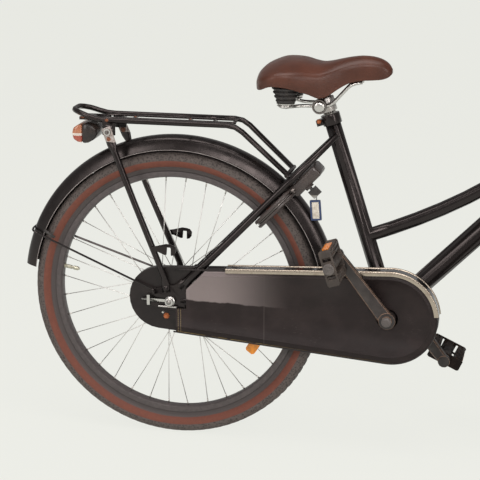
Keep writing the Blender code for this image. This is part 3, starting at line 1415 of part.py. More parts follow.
def clamp_and_rails():
    """The clamp's grooves are cut to the rails, with their clearance."""
    clamp = saddle_clamp()
    room = []
    for side in (1, -1):
        room.append(sweep(rail_route(side), (SADDLE_RAIL_RADIUS + GAP) / math.cos(math.pi / 6), 6))
    node(cut(clamp, *room), "saddle_clamp", dull_steel())
    node(saddle_rails(), "saddle_rails", dull_steel())


def saddle_spring(name, side):
    """Rubber bellows between the rail's end and the seat base."""
    base = SADDLE_FOOT + Vector((0.0, side * SADDLE_SPRING_SPREAD, DISH_HEIGHT + GAP))
    height = SADDLE_SPRING_HEIGHT
    profile = [(0.0, 0.0165)]
    ribs = 4
    for k in range(ribs):
        low = height * (k + 0.15) / ribs
        high = height * (k + 0.70) / ribs
        swell = 0.0205 + 0.0070 * (k + 1) / ribs
        profile += [(low, swell - 0.0035), ((low + high) / 2, swell), (high, swell - 0.0020)]
    profile.append((height, 0.0235))
    bellows = lathe(profile, base, UP, 14)
    return node(bellows, name, black_rubber(), base)


def saddle_pad():
    """Padded shell lofted from cross sections, with skirts and a hollow underside."""
    stations = [
        # forward of the clamp, half width, top and skirt bottom above it, crown drop at the side
        (-0.1333, 0.044, 0.0605, 0.0365, 0.010),
        (-0.1293, 0.060, 0.0670, 0.0330, 0.014),
        (-0.1183, 0.075, 0.0770, 0.0380, 0.017),
        (-0.1023, 0.084, 0.0850, 0.0435, 0.020),
        (-0.0843, 0.087, 0.0910, 0.0445, 0.021),
        (-0.0633, 0.085, 0.0920, 0.0415, 0.021),
        (-0.0433, 0.076, 0.0905, 0.0345, 0.020),
        (-0.0263, 0.067, 0.0865, 0.0285, 0.019),
        (-0.0083, 0.058, 0.0840, 0.0205, 0.018),
        (0.0087, 0.047, 0.0865, 0.0245, 0.017),
        (0.0267, 0.037, 0.0910, 0.0365, 0.016),
        (0.0467, 0.029, 0.0955, 0.0475, 0.015),
        (0.0687, 0.025, 0.0985, 0.0525, 0.014),
        (0.0917, 0.022, 0.0975, 0.0540, 0.013),
        (0.1097, 0.018, 0.0925, 0.0555, 0.012),
        (0.1217, 0.013, 0.0845, 0.0595, 0.010),
        (0.1282, 0.007, 0.0745, 0.0655, 0.004),
    ]
    across = 6
    wall = 0.0065
    base_depth = 0.0185
    bm = bmesh.new()
    rings = []
    for x, half, top, bottom, drop in stations:
        upper = []
        for i in range(2 * across + 1):
            share = -1 + i / across
            z = top - drop * abs(share) ** 2.3
            upper.append((half * share * (1 - 0.04 * abs(share)), z))
        edge = upper[0][1]
        side_low = [
            (half * 1.0, lerp(edge, bottom, 0.45)), (half * 0.985, bottom + 0.002), (half * 0.95, bottom),
        ]
        inner_half = max(half - wall, half * 0.35)
        roof = min(top - drop - 0.004, max(bottom + 0.003, top - base_depth - drop * 0.5))
        under = [(inner_half, bottom + 0.0008), (inner_half * 0.96, roof), (0.0, roof + 0.0008)]
        right = side_low + under
        left = [(-y, z) for y, z in reversed(side_low + under[:2])]
        loop = upper + right + left
        rings.append([bm.verts.new(CLAMP + Vector((x, y, z))) for y, z in loop])
    count = len(rings[0])
    for first, second in zip(rings, rings[1:]):
        for k in range(count):
            after = (k + 1) % count
            bm.faces.new((first[k], first[after], second[after], second[k]))
    bm.faces.new(rings[0])
    bm.faces.new(rings[-1])
    bmesh.ops.triangulate(bm, faces=[face for face in bm.faces if len(face.verts) > 4])
    return as_object(bm)


def saddle():
    pad = saddle_pad()
    for side in (1, -1):
        foot = SADDLE_FOOT + Vector(
            (0.0, side * SADDLE_SPRING_SPREAD, DISH_HEIGHT + SADDLE_SPRING_HEIGHT + 2 * GAP)
        )
        pad = union(pad, cylinder(foot, foot + UP * 0.0329, 0.0200, 12))
    under = rail_end() + Vector((0.002, 0.0, SADDLE_RAIL_RADIUS + GAP))
    nose = cylinder(under, under + UP * 0.0304, 0.0130, 10)
    pad = union(pad, nose)
    return node(pad, "saddle_pad", material("brown_leather", (0.16, 0.055, 0.035), 0.42), sharp=60)


# Steering


def fork():
    """Hollow steerer, crown, two curved blades and the axle's dropouts."""
    steerer_top = HEAD_TUBE_TOP + STEERER_RISE
    steerer = cylinder(steer_point(CROWN_TOP - 0.004), steer_point(steerer_top), STEERER_RADIUS, 14)
    race = cylinder(
        steer_point(CROWN_TOP - 0.001), steer_point(CROWN_TOP + 0.0002), HEAD_TUBE_RADIUS - 0.001, 14,
    )
    crown = block(
        steer_point(CROWN_TOP - CROWN_HEIGHT / 2),
        (CROWN_HEIGHT, 2 * BLADE_SPREAD + 0.012, 0.030),
        turned(STEER_DIRECTION, STEER_FORWARD),
    )
    blades = []
    for side in (1, -1):
        start = steer_point(CROWN_TOP - 0.002, side * BLADE_SPREAD)
        end = steer_point(0.019, side * (FRONT_DROPOUT_INNER + 0.0025), FORK_OFFSET * 0.84)
        first = start - STEER_DIRECTION * 0.150
        second = end + (STEER_DIRECTION * 0.90 - STEER_FORWARD * 0.43).normalized() * 0.090
        path = bezier(start, first, second, end, 6)
        sizes = []
        for i in range(len(path)):
            size = lerp(BLADE_TOP_RADIUS, BLADE_TIP_RADIUS, i / (len(path) - 1))
            sizes.append((size * 0.85, size))
        blades.append(sweep(path, sizes, 8))
        low, high = sorted((side * FRONT_DROPOUT_INNER, side * (FRONT_DROPOUT_INNER + DROPOUT_THICKNESS)))
        tongue = steer_point(0.032, 0.0, FORK_OFFSET * 0.80)
        outline = arc((FRONT_AXLE.x, 0.0), 0.0130, math.radians(-150), math.radians(20), 6)
        outline += arc((tongue.x, tongue.z), 0.0060, math.radians(20), math.radians(210), 4)
        blades.append(prism(outline, low, high))
        boss = steer_point(PIVOT_ALONG, side * PIVOT_SPREAD, 0.004)
        blades.append(
            cylinder(
                boss, steer_point(PIVOT_ALONG, side * PIVOT_SPREAD, PIVOT_FORWARD + 0.013), 0.0040, 8,
            )
        )
        blades.append(
            cylinder(boss, steer_point(PIVOT_ALONG, side * PIVOT_SPREAD, PIVOT_FORWARD), 0.0078, 8)
        )
    reach = steer_point(CROWN_TOP - CROWN_HEIGHT * 0.6) - FRONT_AXLE
    guard = guard_radius(
        FRONT_MUDGUARD_RADIUS, FRONT_MUDGUARD_SPAN, GUARD_STEPS, math.atan2(reach.z, reach.x)
    )
    lug = lug_between(FRONT_AXLE, reach, guard + 1.3 * GAP)
    body = union(steerer, race, crown, lug, *blades)
    slot = AXLE_RADIUS + GAP
    notch = arc((FRONT_AXLE.x, 0.0), slot / math.cos(math.pi / 10), math.radians(180), math.radians(0), 5)
    notch = prism(notch + [(FRONT_AXLE.x + slot, -0.03), (FRONT_AXLE.x - slot, -0.03)], -0.07, 0.07)
    body = cut(body, notch)
    bore = cylinder(
        steer_point(HEAD_TUBE_FOOT + 0.010), steer_point(steerer_top + 0.02), STEERER_RADIUS - STEERER_WALL, 14
    )
    return node(cut(body, bore), "fork", gloss_black(), steer_point(0.0))


def stem():
    """Quill with its nut, rising to the forward clamp of the bar."""
    quill_radius = (STEERER_RADIUS - STEERER_WALL) * math.cos(math.pi / 14) - GAP
    foot = steer_point(HEAD_TUBE_TOP - 0.055)
    head = steer_point(HEAD_TUBE_TOP + STEM_RISE)
    quill = cylinder(foot, head, quill_radius, 14)
    lock_ring = cylinder(
        steer_point(HEAD_TUBE_TOP + STEERER_RISE + GAP),
        steer_point(HEAD_TUBE_TOP + STEERER_RISE + 0.006), 0.0165, 8,
    )
    arm = sweep([head - STEER_DIRECTION * 0.012, bar_centre()], [(0.0120, 0.0140), (0.0110, 0.0120)], 8)
    knob = cylinder(head - STEER_DIRECTION * 0.02, head + STEER_DIRECTION * 0.004, 0.0145, 14)
    half_clamp = 0.0190
    clamp = cylinder(
        bar_centre() - ACROSS * half_clamp, bar_centre() + ACROSS * half_clamp, BAR_RADIUS + 0.0050, 12,
    )
    bore_radius = (BAR_RADIUS + GAP) / math.cos(math.pi / 10)
    bore = cylinder(bar_centre() - ACROSS * 0.05, bar_centre() + ACROSS * 0.05, bore_radius, 10)
    return node(
        cut(union(quill, lock_ring, knob, arm, clamp), bore), "stem", bright_steel(), steer_point(0.0),
    )


def bar_centre():
    return steer_point(HEAD_TUBE_TOP + STEM_RISE + 0.004, 0.0, STEM_REACH)


def bar_half():
    """The left half of the handlebar, from its middle to the grip's inner end and tip."""
    centre = bar_centre()
    end = BAR_HALF_WIDTH - GRIP_RADIUS
    tip = centre + Vector((-BAR_SWEEP, end - 0.0004, BAR_RISE - 0.012))
    grip_inner = centre + Vector((-BAR_SWEEP + 0.105, end - 0.042, BAR_RISE))
    corners = [
        centre,
        centre + Vector((0.0, 0.052, 0.0)),
        centre + Vector((0.016, 0.115, BAR_RISE * 0.72)),
        centre + Vector((0.020, 0.182, BAR_RISE)),
        grip_inner + (grip_inner - tip).normalized() * 0.022,
    ]
    return rounded(corners + [grip_inner], 0.022, 2)[:-1], grip_inner, tip


def handlebar():
    half, grip_inner, tip = bar_half()
    route = half + [grip_inner, tip]
    whole = [mirrored(p) for p in reversed(route[1:])] + route
    return node(sweep(whole, BAR_RADIUS, 8, UP), "handlebar", bright_steel(), steer_point(0.0))


def grip(name, side):
    """Ribbed rubber sleeve with a closed end."""
    _, inner, tip = bar_half()
    run = (tip - inner).normalized()
    start = tip - run * (GRIP_LENGTH - 0.006)
    if side < 0:
        start, run = mirrored(start), mirrored(run)
    bore = (BAR_RADIUS + GAP) / math.cos(math.pi / 12)
    depth = GRIP_LENGTH - 0.006 + GAP
    profile = [(depth, 0.0), (depth, bore), (0.0, bore), (0.0, GRIP_RADIUS), (0.004, GRIP_RADIUS)]
    ribs = 3
    for k in range(ribs):
        at = 0.008 + k * (GRIP_LENGTH - 0.024) / ribs
        step = (GRIP_LENGTH - 0.024) / ribs
        profile += [(at, GRIP_RADIUS - 0.0014), (at + step * 0.78, GRIP_RADIUS - 0.0008)]
    profile += [
        (GRIP_LENGTH - 0.010, GRIP_RADIUS), (GRIP_LENGTH - 0.002, GRIP_RADIUS - 0.0010),
        (GRIP_LENGTH, 0.0),
    ]
    profile[-1] = (GRIP_LENGTH - 0.0006, 0.0)
    sleeve = lathe(profile, start, run, 12)
    return node(sleeve, name, black_rubber(), steer_point(0.0))


def lever_frame():
    """Where the brake lever's clamp sits on the right side of the bar."""
    _, inner, tip = bar_half()
    run = mirrored((tip - inner).normalized())
    centre = mirrored(inner) - run * 0.004
    aim = Vector((0.0, -0.70, -0.70))
    out = (aim - run * run.dot(aim)).normalized()
    return centre, run, out


def brake_lever_bracket():
    centre, run, out = lever_frame()
    hinge = lever_axis()
    bore = (BAR_RADIUS + GAP) / math.cos(math.pi / 12)
    ring = tube_ring(centre - run * 0.008, centre + run * 0.008, BAR_RADIUS + 0.0045, bore, 12)
    front = lever_pivot()
    arm = sweep(
        [centre + out * (BAR_RADIUS + 0.003), front + out * 0.004], [(0.0070, 0.0075), (0.0070, 0.0065)],
        8, hinge,
    )
    pin = cylinder(front - hinge * 0.0055, front + hinge * 0.0055, 0.0025, 8)
    body = union(ring, arm)
    room = block(front + run * 0.004 + out * 0.004, (0.034, 0.026, 0.0068), turned(run, hinge))
    return node(union(cut(body, room), pin), "brake_lever_bracket", black_plastic(), steer_point(0.0))


def lever_axis():
    """Turning about it pulls the lever's blade towards the grip."""
    centre, run, out = lever_frame()
    return run.cross(-out).normalized()


def lever_pivot():
    centre, run, out = lever_frame()
    return centre + out * 0.030 + run * 0.002


def brake_lever():
    centre, run, out = lever_frame()
    pivot = lever_pivot()
    hinge = lever_axis()
    eye = cylinder(pivot - hinge * 0.0030, pivot + hinge * 0.0030, 0.0060, 10)
    corners = [
        pivot, pivot + run * 0.024 + out * 0.008, pivot + run * 0.060 + out * 0.010, pivot + run * 0.098 + out * 0.017
    ]
    route = rounded(corners, 0.010, 2)
    thin = (0.0028, 0.0028)
    wide = (0.0052, 0.0028)
    blade = sweep(route, [thin, thin, thin] + [wide] * (len(route) - 3), 8, hinge)
    body = union(eye, blade)
    bore = cylinder(
        pivot - hinge * 0.02, pivot + hinge * 0.02, (0.0025 + RUNNING_GAP) / math.cos(math.pi / 10), 10,
    )
    return node(cut(body, bore), "brake_lever", bright_steel(), pivot)


def brake_pivot(side):
    return steer_point(PIVOT_ALONG, side * PIVOT_SPREAD, PIVOT_FORWARD)


def brake_arm(name, side):
    """Upright arm turning on the fork's boss, with its pad facing the rim."""
    pivot = brake_pivot(side)
    front = PIVOT_FORWARD + GAP
    mid = front + 0.0050
    eye = cylinder(
        steer_point(PIVOT_ALONG, side * PIVOT_SPREAD, front), steer_point(
            PIVOT_ALONG, side * PIVOT_SPREAD, front + 0.0100,
        ), 0.0085, 12
    )
    route = [
        steer_point(PIVOT_ALONG, side * PIVOT_SPREAD, mid),
        steer_point(0.262, side * (PIVOT_SPREAD + 0.001), mid),
        steer_point(0.325, side * (PIVOT_SPREAD - 0.004), mid),
        steer_point(BRAKE_TOP + 0.006, side * (PIVOT_SPREAD - 0.008), mid),
    ]
    blade = sweep(
        route, [(0.0045, 0.0042), (0.0058, 0.0045), (0.0045, 0.0038), (0.0040, 0.0035)], 8, ACROSS,
    )
    pad_along = math.sqrt(PAD_RADIUS ** 2 - (FORK_OFFSET - mid) ** 2)
    face = RIM_HALF_WIDTH + 0.0022
    post = cylinder(
        steer_point(pad_along, side * (PIVOT_SPREAD + 0.006), mid),
        steer_point(pad_along, side * (face + 0.006), mid), 0.0030, 8,
    )
    pad_mid = steer_point(pad_along, side * (face + 0.0055), mid)
    outward = pad_mid - FRONT_AXLE
    outward.y = 0.0
    pad = block(pad_mid, (0.009, 0.011, 0.044), turned(outward, STEER_FORWARD))
    body = union(eye, blade, post, pad)
    bore = cylinder(
        steer_point(
            PIVOT_ALONG, side * PIVOT_SPREAD, front - 0.02,
        ), steer_point(PIVOT_ALONG, side * PIVOT_SPREAD, front + 0.03),
        (0.0040 + RUNNING_GAP) / math.cos(math.pi / 12), 12,
    )
    wire_room = cylinder(steer_point(BRAKE_TOP, -0.07, mid), steer_point(BRAKE_TOP, 0.07, mid), 0.0022, 8)
    return node(cut(body, bore, wire_room), name, black_plastic(), pivot)


def brake_cable():
    """Cable from the lever down to the brake, ending in the wire between the arms."""
    centre, run, out = lever_frame()
    mid = PIVOT_FORWARD + GAP + 0.0050
    start = centre + out * 0.024 - run * (0.0049 + GAP)
    wire = steer_point(BRAKE_TOP, 0.0, mid)
    arm_side = PIVOT_SPREAD - 0.008
    corners = [
        start,
        start - run * 0.045 + out * 0.002,
        Vector((bar_centre().x + 0.070, -0.130, bar_centre().z + 0.040)),
        Vector((bar_centre().x + 0.105, -0.060, bar_centre().z - 0.060)),
        steer_point(BRAKE_TOP + 0.075, -0.078, mid + 0.045),
        steer_point(BRAKE_TOP + 0.012, -0.078, mid + 0.010),
        steer_point(BRAKE_TOP, -0.060, mid),
    ]
    route = rounded(corners, 0.040, 3)
    hose = sweep(
        route + [steer_point(BRAKE_TOP, -(arm_side + 0.0062), mid)], 0.0024, 5, Vector((0.35, 0.2, 1.0)),
    )
    inner = sweep(
        [steer_point(BRAKE_TOP, -0.050, mid), steer_point(BRAKE_TOP, arm_side + 0.010, mid)], 0.0009, 4,
        UP,
    )
    stop_end = cylinder(
        wire + ACROSS * (arm_side + 0.0062), wire + ACROSS * (arm_side + 0.0102), 0.0024, 8,
    )
    return node(union(hose, inner, stop_end), "brake_cable", black_rubber(), steer_point(0.0))


def headlight():
    """Lamp ahead of the crown on its bracket, with the lens forward."""
    base = steer_point(CROWN_TOP - CROWN_HEIGHT / 2, 0.0, 0.0150 + GAP)
    centre = base + Vector((0.050, 0.0, 0.058))
    route = [
        base, base + STEER_FORWARD * 0.006, base + Vector((0.026, 0.0, 0.030)),
        centre - Vector((0.010, 0.0, 0.020)),
    ]
    bracket = sweep(route, [(0.0085, 0.0020)] * 4, 6)
    forward = Vector((1.0, 0.0, 0.0))
    profile = [
        (-0.030, 0.0), (-0.030, 0.010), (-0.018, 0.022), (0.010, 0.0280), (0.020, 0.0295),
        (0.024, 0.0290), (0.0262, 0.0),
    ]
    lamp = lathe(profile, centre, forward, 16)
    return node(union(lamp, bracket), "headlight", black_plastic(), steer_point(0.0))


# Stand


def kickstand_leg():
    """Eye on the frame's pin and a straight leg with a flattened foot."""
    axis = stand_axis()
    leg_length = 0.278
    eye = cylinder(STAND_PIVOT - axis * 0.0055, STAND_PIVOT + axis * 0.0015, 0.0105, 12)
    reaches = (0.004, 0.022, 0.036, leg_length - 0.020, leg_length)
    route = [STAND_PIVOT + STAND_FOLDED * reach - axis * 0.0020 for reach in reaches]
    neck = (0.0032, 0.0085)
    sizes = [neck, neck, (STAND_RADIUS, STAND_RADIUS), (0.0060, 0.0060), (0.0055, 0.0110)]
    leg = sweep(route, sizes, 8, axis)
    bore = cylinder(
        STAND_PIVOT - axis * 0.03, STAND_PIVOT + axis * 0.03, (0.0050 + RUNNING_GAP) / math.cos(math.pi / 10), 10
    )
    return node(cut(union(eye, leg), bore), "kickstand_leg", black_plastic(), STAND_PIVOT)


def place_on_ground():
    """Moves everything so that the origin lies under the middle, on the ground."""
    bpy.context.view_layer.update()
    graph = bpy.context.evaluated_depsgraph_get()
    low = Vector((math.inf,) * 3)
    high = -low
    nodes = list(bpy.context.scene.collection.objects)
    for obj in nodes:
        for vertex in obj.evaluated_get(graph).data.vertices:
            point = obj.matrix_world @ vertex.co
            low = Vector(map(min, low, point))
            high = Vector(map(max, high, point))
    shift = Vector((-(low.x + high.x) / 2, -(low.y + high.y) / 2, -low.z))
    for obj in nodes:
        obj.location += shift
    return shift, high - low


def build():
    clear_scene()
    frame()
    seat_collar()
    headset_cups()
    bottom_bracket()
    carrier()
    carrier_strut("carrier_strut_right", -1)
    carrier_strut("carrier_strut_left", 1)
    bag_hook("bag_hook_right", -1)
    bag_hook("bag_hook_left", 1)
    rear_light()
    rear_mudguard()
    rear_mudguard_stay()
    ring_lock_body()
    ring_lock_shackle()
    ring_lock_key()
    chain_case_outer()
    chain_case_inner()
    chain_case_rear_end()
    chain_case_trim()
    chain()
    coaster_arm()
    chain_tensioner()
    axle_with_cones("rear_axle", REAR_AXLE, [(-0.0546, -0.0500), (0.0390, 0.0546)], 0.0750)
    axle_nut("rear_axle_nut_right", -1, DROPOUT_OUTER + GAP + 0.0020)
    axle_nut("rear_axle_nut_left", 1, DROPOUT_OUTER)
    kickstand_leg()
    seat_post()
    clamp_and_rails()
    saddle_spring("saddle_spring_right", -1)
    saddle_spring("saddle_spring_left", 1)
    saddle()
    tyre("rear_tyre", REAR_AXLE)
    rim("rear_rim", REAR_AXLE)
    rear_hub()
    rear_sprocket()
    chainring()
    crank_spindle()
    crank("crank_right", -1)
    crank("crank_left", 1)
    pedal("pedal_right", -1, RIGHT_PEDAL_ANGLE)
    pedal("pedal_left", 1, LEFT_PEDAL_ANGLE)
    fork()
    stem()
    handlebar()
    grip("grip_right", -1)
    grip("grip_left", 1)
    headlight()
    front_mudguard()
    brake_lever_bracket()
    brake_lever()
    brake_cable()
    brake_arm("brake_arm_right", -1)
    brake_arm("brake_arm_left", 1)
    outer, inner = FRONT_DROPOUT_INNER + DROPOUT_THICKNESS + GAP, FRONT_DROPOUT_INNER - GAP
    cones = [(-outer - 0.009, -outer), (-inner, -0.0410), (0.0410, inner), (outer, outer + 0.009)]
    axle_with_cones("front_axle", FRONT_AXLE, cones, 0.0680)
    tyre("front_tyre", FRONT_AXLE)
    rim("front_rim", FRONT_AXLE)
    front_hub()
    shift, size = place_on_ground()
    print("rear axle at", [round(v, 5) for v in shift])
    print("overall size", [round(v, 4) for v in size])
    print("stand axis", [round(v, 6) for v in stand_axis()])
    print("lever axis", [round(v, 6) for v in lever_axis()])
    print("lever pivot", [round(v, 5) for v in lever_pivot() + shift])
    print("key at", [round(v, 5) for v in key_seat() + shift])
    print("steering foot", [round(v, 5) for v in STEER_FOOT + shift])


build()
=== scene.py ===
import json
import math

import bmesh
import bpy
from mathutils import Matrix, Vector

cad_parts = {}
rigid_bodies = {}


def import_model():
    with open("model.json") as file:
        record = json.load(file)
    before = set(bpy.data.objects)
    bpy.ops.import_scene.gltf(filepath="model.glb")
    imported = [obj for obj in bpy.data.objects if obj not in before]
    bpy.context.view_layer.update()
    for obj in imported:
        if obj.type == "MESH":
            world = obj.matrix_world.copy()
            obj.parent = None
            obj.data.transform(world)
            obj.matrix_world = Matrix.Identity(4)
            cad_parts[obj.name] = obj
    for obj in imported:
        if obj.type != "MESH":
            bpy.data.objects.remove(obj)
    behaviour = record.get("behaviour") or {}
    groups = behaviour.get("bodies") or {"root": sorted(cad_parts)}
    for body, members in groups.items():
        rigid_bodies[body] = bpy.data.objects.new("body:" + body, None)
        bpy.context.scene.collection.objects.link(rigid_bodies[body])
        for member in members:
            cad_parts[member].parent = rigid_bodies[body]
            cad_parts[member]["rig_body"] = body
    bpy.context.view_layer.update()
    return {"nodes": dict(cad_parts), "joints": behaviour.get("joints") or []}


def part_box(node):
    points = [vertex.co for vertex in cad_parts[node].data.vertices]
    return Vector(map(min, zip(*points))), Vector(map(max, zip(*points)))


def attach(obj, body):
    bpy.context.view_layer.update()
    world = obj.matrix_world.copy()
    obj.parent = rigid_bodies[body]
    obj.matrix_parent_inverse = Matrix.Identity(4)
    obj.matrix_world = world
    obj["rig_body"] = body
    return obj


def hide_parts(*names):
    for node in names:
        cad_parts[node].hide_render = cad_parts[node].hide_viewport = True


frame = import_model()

nodes = frame["nodes"]
joints = {j["name"]: Vector(j["pos_m"]) for j in frame["joints"] if "pos_m" in j}

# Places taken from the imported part
AXLE = joints["rear_wheel_spin"]
FRONT = joints["front_wheel_spin"]
BRACKET = joints["crank_spin"]
RIGHT_PEDAL = joints["pedal_right_spin"]
LEFT_PEDAL = joints["pedal_left_spin"]
ACROSS = Vector((0.0, 1.0, 0.0))
UP = Vector((0.0, 0.0, 1.0))

# The part's own starting point lies behind the rear axle by the axle's place in its slot
AXLE_IN_SLOT = 0.0050
ORIGIN = AXLE - Vector((AXLE_IN_SLOT, 0.0, 0.0))

# Wheel sizes, as in the part
TYRE_RADIUS = 0.3030
TYRE_HALF = 0.0235
SEAT_RADIUS = 0.2535
RIM_DEPTH = 0.0072
RIM_HALF = 0.0125
SPOKE_END = SEAT_RADIUS - RIM_DEPTH + 0.001
ROUND = 144


def at(x, y, z):
    """A point given from the part's starting point beside the rear axle."""
    return ORIGIN + Vector((x, y, z))


def lerp(a, b, t):
    return a + (b - a) * t


def radial(angle):
    """The direction at an angle in the plane of the wheels."""
    return Vector((math.cos(angle), 0.0, math.sin(angle)))


def smooth_step(t):
    t = max(0.0, min(1.0, t))
    return t * t * (3 - 2 * t)


# Materials


class Look:
    """A node-based material, put together with a few short calls."""

    def __init__(self, name, colour=(0.5, 0.5, 0.5), rough=0.5, metal=0.0, **inputs):
        self.material = bpy.data.materials.new(name)
        self.material.use_nodes = True
        self.tree = self.material.node_tree
        self.shader = self.tree.nodes["Principled BSDF"]
        self.coords = self.add("ShaderNodeTexCoord").outputs["Object"]
        self.height = None
        self.base = colour
        self.set("Base Color", colour)
        self.set("Roughness", rough)
        self.set("Metallic", metal)
        for key, value in inputs.items():
            self.set(key.replace("_", " "), value)

    def add(self, kind, **settings):
        made = self.tree.nodes.new(kind)
        for key, value in settings.items():
            setattr(made, key, value)
        return made

    def put(self, value, socket):
        if isinstance(value, bpy.types.NodeSocket):
            self.tree.links.new(value, socket)
        elif isinstance(value, (tuple, list, Vector)) and len(value) == 3 and socket.type == "RGBA":
            socket.default_value = (*value, 1.0)
        else:
            socket.default_value = value

    def set(self, name, value):
        self.put(value, self.shader.inputs[name])

    def fill(self, made, **inputs):
        """Sets a node's inputs by name and gives its outputs."""
        for name, value in inputs.items():
            self.put(value, made.inputs[name])
        return made.outputs

    def place(self, origin):
        """Position on the object from an origin, in metres, as three outputs."""
        made = self.add("ShaderNodeSeparateXYZ")
        self.put(self.vector("SUBTRACT", self.coords, Vector(origin)), made.inputs[0])
        return made.outputs

    def vector(self, operation, a, b):
        made = self.add("ShaderNodeVectorMath", operation=operation)
        self.put(a, made.inputs[0])
        self.put(b, made.inputs[1])
        return made.outputs["Value" if operation == "DISTANCE" else "Vector"]

    def math(self, operation, *values):
        made = self.add("ShaderNodeMath", operation=operation)
        for value, socket in zip(values, made.inputs):
            self.put(value, socket)
        return made.outputs[0]

    def times(self, a, *others):
        for b in others:
            a = self.math("MULTIPLY", a, b)
        return a

    def texture(self, kind, stretch, **inputs):
        """Outputs of a texture over the object, with its place multiplied by stretch."""
        place = self.vector("MULTIPLY", self.coords, Vector(stretch)) if stretch else self.coords
        return self.fill(self.add(kind), Vector=place, **inputs)

    def noise(self, scale, detail=4.0, roughness=0.55, stretch=None):
        return self.texture("ShaderNodeTexNoise", stretch, Scale=scale, Detail=detail, Roughness=roughness)[0]

    def cells(self, scale, randomness=1.0):
        return self.texture("ShaderNodeTexVoronoi", None, Scale=scale, Randomness=randomness)["Distance"]

    def band(self, value, low, high, start=0.0, end=1.0):
        """value taken from low..high to start..end."""
        made = self.add("ShaderNodeMapRange", interpolation_type="SMOOTHSTEP", clamp=True)
        for item, socket in zip((value, low, high, start, end), made.inputs):
            self.put(item, socket)
        return made.outputs[0]

    def patches(self, scale, detail, *band):
        """Noise, taken from between two of its values to 0..1 or as given."""
        return self.band(self.noise(scale, detail), *band)

    def fade(self, value, full, none):
        return self.band(value, full, none, 1.0, 0.0)

    def stripe(self, value, rise, fall):
        """1 between two soft edges, each given as (start, end) of value, and 0 outside."""
        return self.times(self.band(value, *rise), self.fade(value, *fall))

    def near(self, value, middle, inner, outer):
        """1 within inner of a middle value, 0 beyond outer."""
        away = self.math("ABSOLUTE", self.math("SUBTRACT", value, middle))
        return self.fade(away, inner, outer)

    def mix(self, share, a, b):
        made = self.add("ShaderNodeMix", data_type="RGBA")
        self.put(share, made.inputs[0])
        self.put(a, made.inputs[6])
        self.put(b, made.inputs[7])
        return made.outputs[2]

    def lay(self, share, colour):
        """Covers the colour so far with another where share is 1."""
        self.base = self.mix(share, self.base, colour)
        self.set("Base Color", self.base)

    def spot(self, centre, radius):
        """1 inside a ragged-edged patch round a point of the object, 0 outside."""
        ragged = 0.3
        far = self.vector("DISTANCE", self.coords, centre)
        grain = self.noise(0.9 / radius, 3.0)
        near = self.math("MULTIPLY_ADD", grain, radius * ragged * 2, radius * (0.75 - ragged))
        return self.fade(far, near, self.math("ADD", near, radius * 0.28))

    def most(self, *masks):
        total = masks[0]
        for mask in masks[1:]:
            total = self.math("MAXIMUM", total, mask)
        return total

    def bump(self, height, distance, strength):
        made = self.add("ShaderNodeBump")
        self.fill(made, Strength=strength, Distance=distance, Height=height)
        if self.height is not None:
            self.put(self.height, made.inputs["Normal"])
        self.height = made.outputs[0]
        self.set("Normal", self.height)


PAINT_BLACK = (0.0062, 0.0054, 0.0055)
PAINT_BROWN = (0.020, 0.0140, 0.0120)
PAINT_TINT = (1.0, 0.87, 0.85)
RUST = (0.235, 0.078, 0.030)
RUST_DARK = (0.085, 0.030, 0.016)


def corrode(look, low, high, rust_at):
    """Lays rusty chips and patches on a look's colour and returns where they lie."""
    pits = look.fade(look.cells(220.0), 0.05, 0.115)
    chips = look.times(pits, look.patches(11.0, 3.0, low, high))
    where = look.most(chips, *[look.spot(at(x, y, z), radius) for x, y, z, radius in rust_at])
    rust = look.mix(look.patches(420.0, 3.0, 0.35, 0.65), RUST_DARK, RUST)
    look.lay(where, rust)
    return where


def paint(name, chips, rust_at=(), rough=0.19):
    """Black enamel: smudged gloss, small chips, and rust where welds have broken it."""
    look = Look(name, PAINT_BLACK, rough, Specular_IOR_Level=0.42, Specular_Tint=PAINT_TINT)
    cloud = look.patches(14.0, 5.0, 0.40, 0.72, 0.0, 0.20)
    look.lay(cloud, PAINT_BROWN)
    smear = look.noise(60.0, 4.0, stretch=(1.0, 0.6, 1.0))
    roughness = look.band(smear, 0.35, 0.75, rough * 0.9, rough * 1.3)
    chip = corrode(look, 0.63 - 0.10 * chips, 0.72 - 0.06 * chips, rust_at)
    look.set("Roughness", look.math("MULTIPLY_ADD", chip, 0.5, roughness))
    peel = look.noise(260.0, 2.0)
    look.bump(look.math("MULTIPLY_ADD", chip, -0.6, look.times(peel, 0.012)), 0.0004, 0.4)
    return look.material


def plastic(name, colour=(0.021, 0.0185, 0.018), rough=0.42, grain=700.0, bump=0.25, worn=(0.060, 0.050, 0.044),
            gloss=0.5):
    """Moulded plastic with a fine grain, paler where dust and wear lie."""
    look = Look(name, colour, rough, Specular_IOR_Level=gloss)
    cloud = look.patches(24.0, 5.0, 0.42, 0.74, 0.0, 0.55)
    look.lay(cloud, worn)
    look.set("Roughness", look.patches(90.0, 4.0, 0.3, 0.7, rough * 0.82, rough * 1.25))
    look.bump(look.noise(grain, 3.0), 0.0003, bump)
    return look.material


def metal(name, colour=(0.60, 0.585, 0.56), rough=0.24, dirt=0.35, brush=None, stain=(0.16, 0.11, 0.075)):
    """Plated or polished steel with fine scratches and brown deposits."""
    look = Look(name, colour, rough, 1.0)
    marks = look.band(look.noise(45.0, 6.0, 0.65), 0.50, 0.78, 0.0, dirt)
    look.lay(marks, stain)
    look.set("Metallic", look.band(marks, 0.0, 1.0, 1.0, 0.55))
    scratch = look.noise(500.0, 3.0, stretch=brush)
    haze = look.band(scratch, 0.3, 0.7, rough * 0.75, rough * 1.35)
    look.set("Roughness", look.math("MULTIPLY_ADD", marks, 0.35, haze))
    look.bump(scratch, 0.0002, 0.05)
    return look.material


